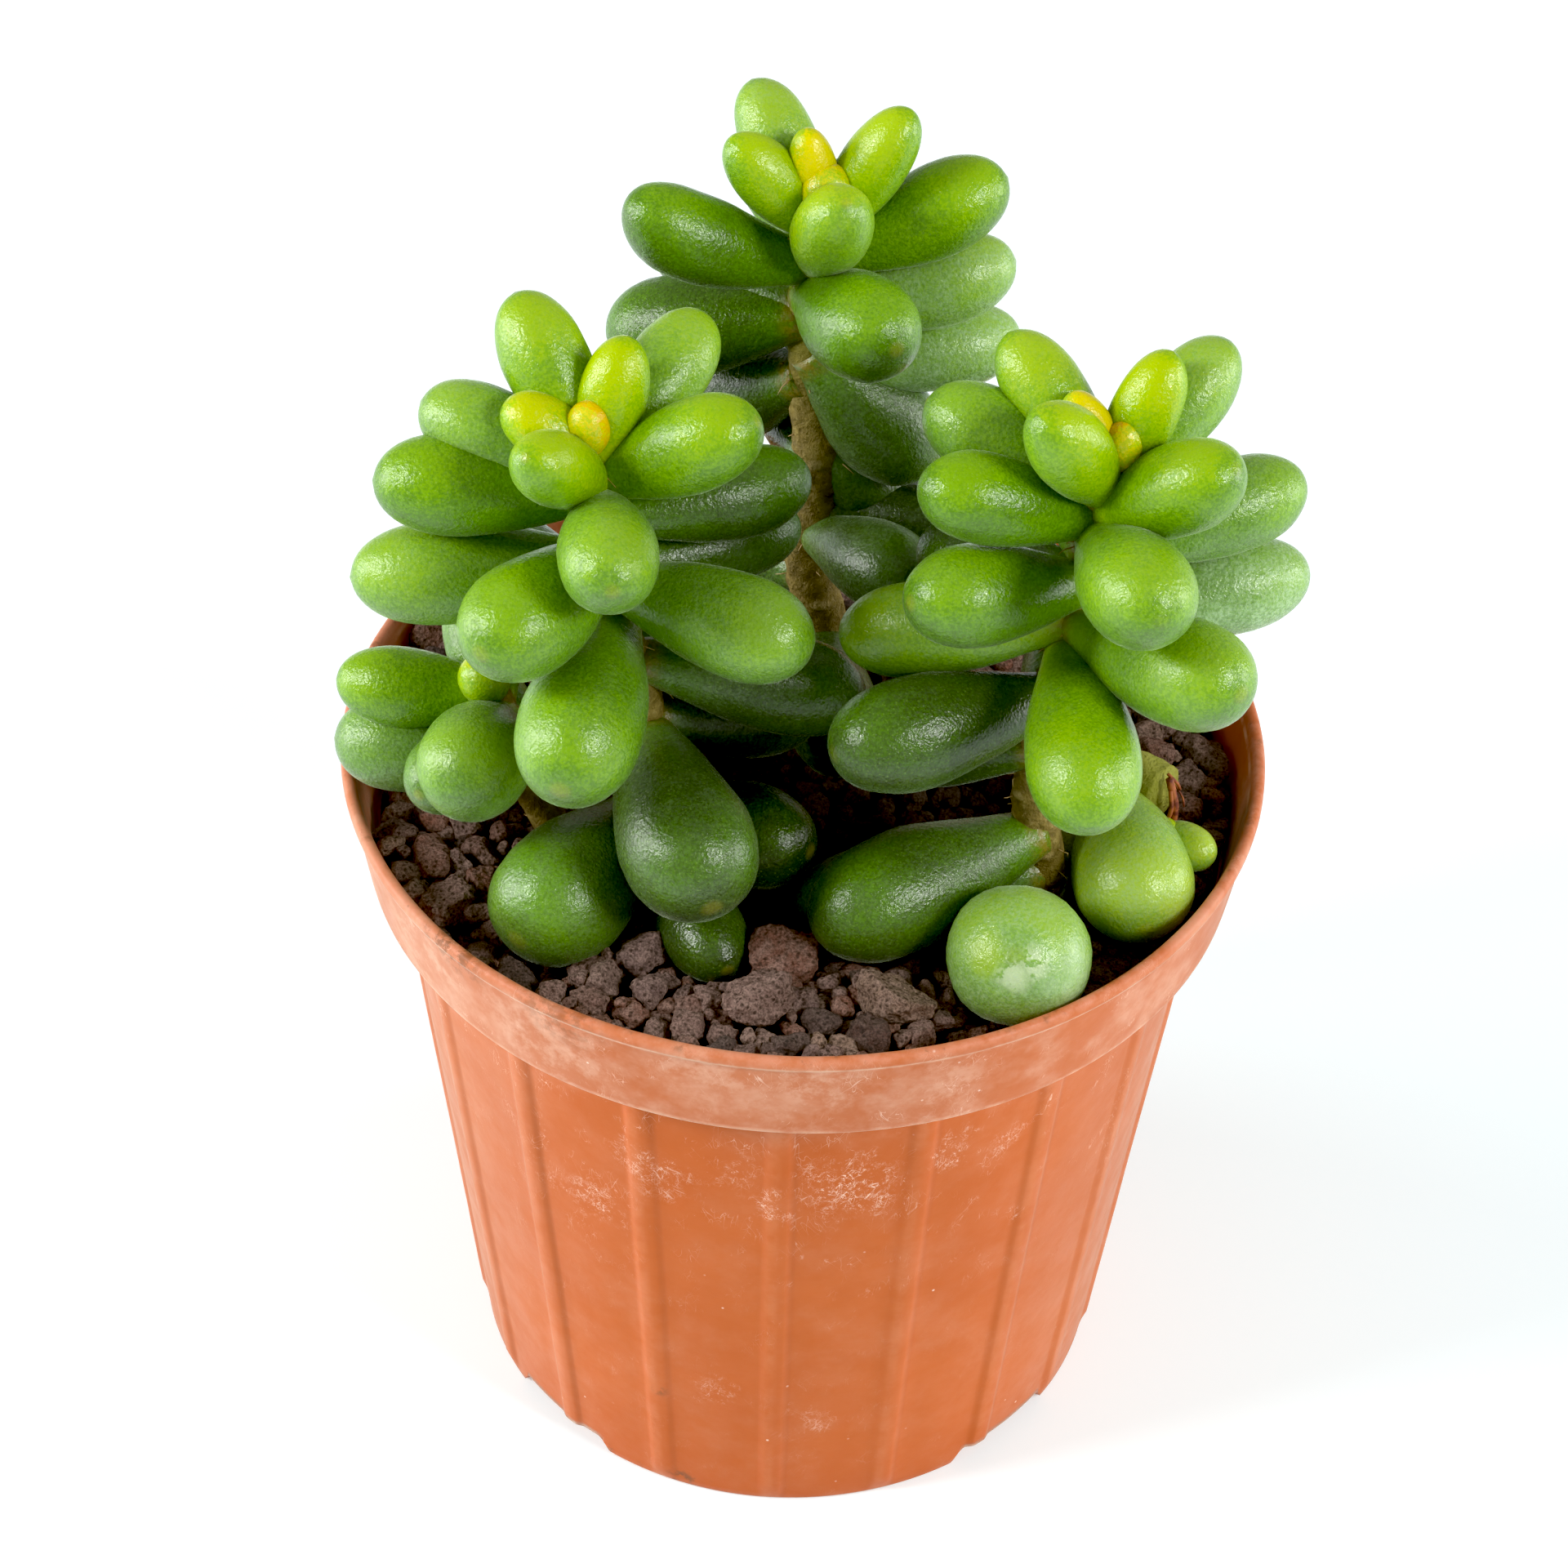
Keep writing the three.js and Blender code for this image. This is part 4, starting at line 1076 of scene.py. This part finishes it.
def hazy_plastic(s, x, z):
    """Orange plastic, with milky haze on the collar, fine dust, and painted light on the left and right
    flanks.
    """
    colour = s.mix(s.fit(s.noise(0.07, 2, 0.5), 0.3, 0.7), (0.47, 0.098, 0.014), (0.51, 0.112, 0.018))
    colour = s.mix(s.fit(s.noise(0.4, 4, 0.6), 0.35, 0.75, 0, 0.3), colour, (0.43, 0.086, 0.012))
    colour = s.mix(s.fit(z, 7, 0.5, 0, 0.6), colour, (0.46, 0.092, 0.012))
    # thin haze is patchy all over the collar and fainter on the body
    cloud = s.fit(s.noise(0.22, 4, 0.6), 0.42, 0.7)
    cloud = s.times(cloud, s.fit(s.noise(1.2, 4, 0.65), 0.2, 0.75, 0.4, 1))
    haze = s.times(cloud, s.fit(z, 36, 41, 0.12, 0.75))
    thick = s.times(near_places(s, HAZES), s.fit(s.noise(0.5, 5, 0.68), 0.4, 0.66, 0.2, 1))
    colour = s.mix(s.times(s.most(haze, thick), 0.66), colour, (0.74, 0.42, 0.29))
    # fine dust lies all over the collar, and painted light makes the pot's left and right flanks paler
    on_collar = s.fit(z, COLLAR_BOTTOM - 0.1, COLLAR_BOTTOM + 0.1)
    dust = s.plus(s.times(on_collar, 0.06), s.fit(x, -11, -22, 0, 0.13))
    dust = s.most(dust, s.fit(x, 12, 20, 0, 0.07))
    return s.mix(dust, colour, (0.5, 0.42, 0.33))


def rib_tones(s, colour, x, y, z):
    """Each rib is paler along its middle, partly wear and partly a painted highlight, and darker along its
    right edge, a painted shadow.
    """
    around = s.times(s.math("ARCTAN2", y, x), 180 / math.pi)
    off = s.math("WRAP", s.minus(around, RIB_TURN), 180 / RIB_COUNT, -180 / RIB_COUNT)
    arc = s.times(off, math.radians(1) * (FOOT_RADIUS + BODY_TOP_RADIUS) / 2)
    on_body = s.fit(z, COLLAR_BOTTOM + 0.1, COLLAR_BOTTOM - 0.1)
    wear_and_painted_highlight = s.fit(s.noise(0.5, 4, 0.65), 0.3, 0.65)
    # painted highlight mixed with wear: a pale stripe just left of each rib's middle
    pale = s.times(s.fit(s.size(s.plus(arc, 0.25)), 0.55, 0.1), wear_and_painted_highlight)
    colour = s.mix(s.times(pale, on_body, 0.17), colour, (0.68, 0.27, 0.13))
    # painted shadow along each rib's right edge
    dark = s.fit(s.size(s.minus(arc, RIB_HALF + 0.1)), 0.32, 0.05)
    return s.mix(s.times(dark, on_body, 0.15), colour, (0.25, 0.05, 0.012))


def scratches(s, z):
    """Scribbles dense at the rubbed places, and a few straight hairlines elsewhere."""
    rubs = near_places(s, RUBS, 6)
    scribble = hairlines(s, (0.5, -0.75, 1.2, -1.3, 0.05), 1.1, 0.013)
    scribble = s.times(scribble, s.fit(s.noise(1, 4, 0.7), 0.44, 0.56), rubs)
    rubbed = s.times(s.fit(s.noise(3.4, 4, 0.75), 0.58, 0.68), rubs, 0.3)
    lines = hairlines(s, (0.7, -0.5, 0.08), 0.8, 0.007)
    lines = s.times(lines, s.fit(s.noise(0.45, 3, 0.6), 0.52, 0.66), s.fit(z, 14, 40, 0.1, 0.6))
    return s.most(scribble, rubbed, lines)


def edge_wear_and_highlight(s, colour, z):
    """Pale lines along the lip and the collar's lower edge, and a paler rim; along the lip and on the rim
    they are partly wear and partly painted highlight.
    """
    lip = POT_HEIGHT - LIP_HEIGHT
    lip_line = s.times(s.fit(z, lip + 0.35, lip + 0.05), s.fit(z, lip - 0.35, lip - 0.05))
    above = s.fit(z, COLLAR_BOTTOM + 0.6, COLLAR_BOTTOM + 0.1)
    low_line = s.times(above, s.fit(z, COLLAR_BOTTOM - 0.1, COLLAR_BOTTOM))
    wear_and_highlight_patches = s.fit(s.noise(0.6, 4, 0.65), 0.36, 0.62, 0.15, 1)
    colour = s.mix(s.times(s.most(lip_line, low_line), wear_and_highlight_patches, 0.5), colour, (0.88, 0.55, 0.38))
    # painted highlight on the rim's top, mixed with wear
    rim = s.fit(z, POT_HEIGHT - 0.7, POT_HEIGHT - 0.1)
    rim = s.times(rim, s.fit(s.noise(0.9, 4, 0.6), 0.35, 0.7, 0.1, 0.8))
    return s.mix(rim, colour, (0.62, 0.25, 0.15))


def dirt_on_pot(s, z):
    """Brown dirt on the rim's top, at the stains and along the foot."""
    dirt = s.times(s.fit(z, POT_HEIGHT - 0.5, POT_HEIGHT), s.fit(s.noise(0.8, 5, 0.7), 0.56, 0.7), 0.6)
    stains = s.times(near_places(s, STAINS), s.fit(s.noise(1.3, 4, 0.7), 0.44, 0.6))
    foot = s.times(s.fit(z, 2.2, 0.1), s.fit(s.noise(0.8, 4, 0.7), 0.58, 0.8), 0.4)
    return s.most(dirt, stains, foot)


def pot_material():
    """Used orange plastic."""
    s = Shader("terracotta_plastic")
    x, y, z = s.split()
    colour = rib_tones(s, hazy_plastic(s, x, z), x, y, z)
    marks = scratches(s, z)
    colour = s.mix(s.times(marks, 0.85), colour, (0.92, 0.66, 0.52))
    specks = s.times(s.fit(s.cells(0.5), 0.06, 0.02), s.fit(s.noise(0.3, 2), 0.5, 0.6))
    colour = s.mix(s.times(specks, 0.7), colour, (0.92, 0.74, 0.62))
    colour = edge_wear_and_highlight(s, colour, z)
    colour = s.mix(s.times(dirt_on_pot(s, z), 0.8), colour, (0.13, 0.055, 0.02))
    bumps = s.bump(s.noise(0.3, 2, 0.5), 0.3, 0.0003)
    return s.finish(
        Base_Color=colour,
        Roughness=s.plus(s.fit(s.noise(0.4, 3, 0.6), 0.3, 0.7, 0.38, 0.5), s.times(marks, 0.25)),
        Normal=s.bump(s.noise(4, 3, 0.6), 0.22, 0.00003, bumps),
        IOR=1.46,
        Specular_IOR_Level=0.2,
        Subsurface_Weight=0.1,
        Subsurface_Radius=(1, 0.35, 0.15),
        Subsurface_Scale=0.0015,
        Sheen_Weight=0.28,
        Sheen_Roughness=0.25,
        Sheen_Tint=(0.5, 0.72, 0.64, 1),
    )


def floor_material():
    """A pale studio floor that glows faintly, so that it stays white into the distance."""
    s = Shader("studio_floor")
    colour = s.mix(s.noise(0.02, 2), (0.65, 0.75, 0.77), (0.68, 0.775, 0.795))
    glow = (0.985, 1, 1, 1)
    return s.finish(Base_Color=colour, Roughness=0.7, Emission_Color=glow, Emission_Strength=0.325)


# The object

leaf_skin = leaf_material()
bark = stalk_material()
hair = hair_material()
lava = lava_material()
dark_mix = soil_material()

for name, parts in STEMS.items():
    for made, material in zip(stem_pieces(name, parts), (leaf_skin, bark, hair)):
        piece(made, material, f"stem_{name}")

# the bed under the grains is dark potting mix, partly real soil and partly painted shade in the gaps between
# the grains
piece(bed_piece(), dark_mix, "gravel")
for grains in gravel_pieces():
    piece(grains, lava, "gravel")
piece(pot_piece(), pot_material(), "pot")

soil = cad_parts["soil"]
soil.data.materials.clear()
soil.data.materials.append(dark_mix)

# Floor, light and camera

FLOOR_REACH = 3000
corners = np.array([(-1, -1, 0), (1, -1, 0), (1, 1, 0), (-1, 1, 0)])
floor = mesh_object("floor", corners * FLOOR_REACH, [(0, 1, 2, 3)])
floor.data.materials.append(floor_material())

world = bpy.data.worlds.new("studio")
world.use_nodes = True
backdrop = world.node_tree.nodes["Background"].inputs
backdrop["Color"].default_value = (1, 1, 0.99, 1)
backdrop["Strength"].default_value = 0.36
bpy.context.scene.world = world

LIGHT_DISTANCE = 0.6
AIM_HEIGHT = 0.05


def softbox(name, azimuth, elevation, size, power):
    """A round area light aimed at the middle of the plant, at angles from the front."""
    light = bpy.data.lights.new(name, "AREA")
    light.shape = "DISK"
    light.size = size
    light.energy = power
    lamp = bpy.data.objects.new(name, light)
    a, e = math.radians(azimuth), math.radians(elevation)
    outward = Vector((math.sin(a) * math.cos(e), -math.cos(a) * math.cos(e), math.sin(e)))
    lamp.location = Vector((0, 0, AIM_HEIGHT)) + outward * LIGHT_DISTANCE
    lamp.rotation_mode = "QUATERNION"
    lamp.rotation_quaternion = (-outward).to_track_quat("-Z", "Y")
    bpy.context.scene.collection.objects.link(lamp)


softbox("light_left", -70, 33, 0.17, 2.4)
softbox("light_right", 54, 33, 0.17, 2.2)
softbox("side_left", -96, 10, 0.3, 2.3)
softbox("side_right", 96, 10, 0.3, 1.7)

# The camera's place in millimetres, and its right and upward directions
CAMERA_PLACE = (0, -196.22, 218.63)
CAMERA_RIGHT = (0.99946, 0.02491, 0.02158)
CAMERA_UP = (-0.03269, 0.6662, 0.74505)

camera_data = bpy.data.cameras.new("camera")
camera_data.lens = 100
camera_data.sensor_width = 36
camera_data.clip_start = 0.01
camera_data.clip_end = 20
camera = bpy.data.objects.new("camera", camera_data)
right, up = Vector(CAMERA_RIGHT), Vector(CAMERA_UP)
turned = Matrix((right, up, right.cross(up).normalized())).transposed().to_4x4()
camera.matrix_world = Matrix.Translation(Vector(CAMERA_PLACE) * MM) @ turned
bpy.context.scene.collection.objects.link(camera)
bpy.context.scene.camera = camera

# Plain tones, with the darkest ones drawn down to black
settings = bpy.context.scene.view_settings
settings.view_transform = "Standard"
settings.use_curve_mapping = True
settings.curve_mapping.black_level = (0.01, 0.011, 0.015)
settings.curve_mapping.update()
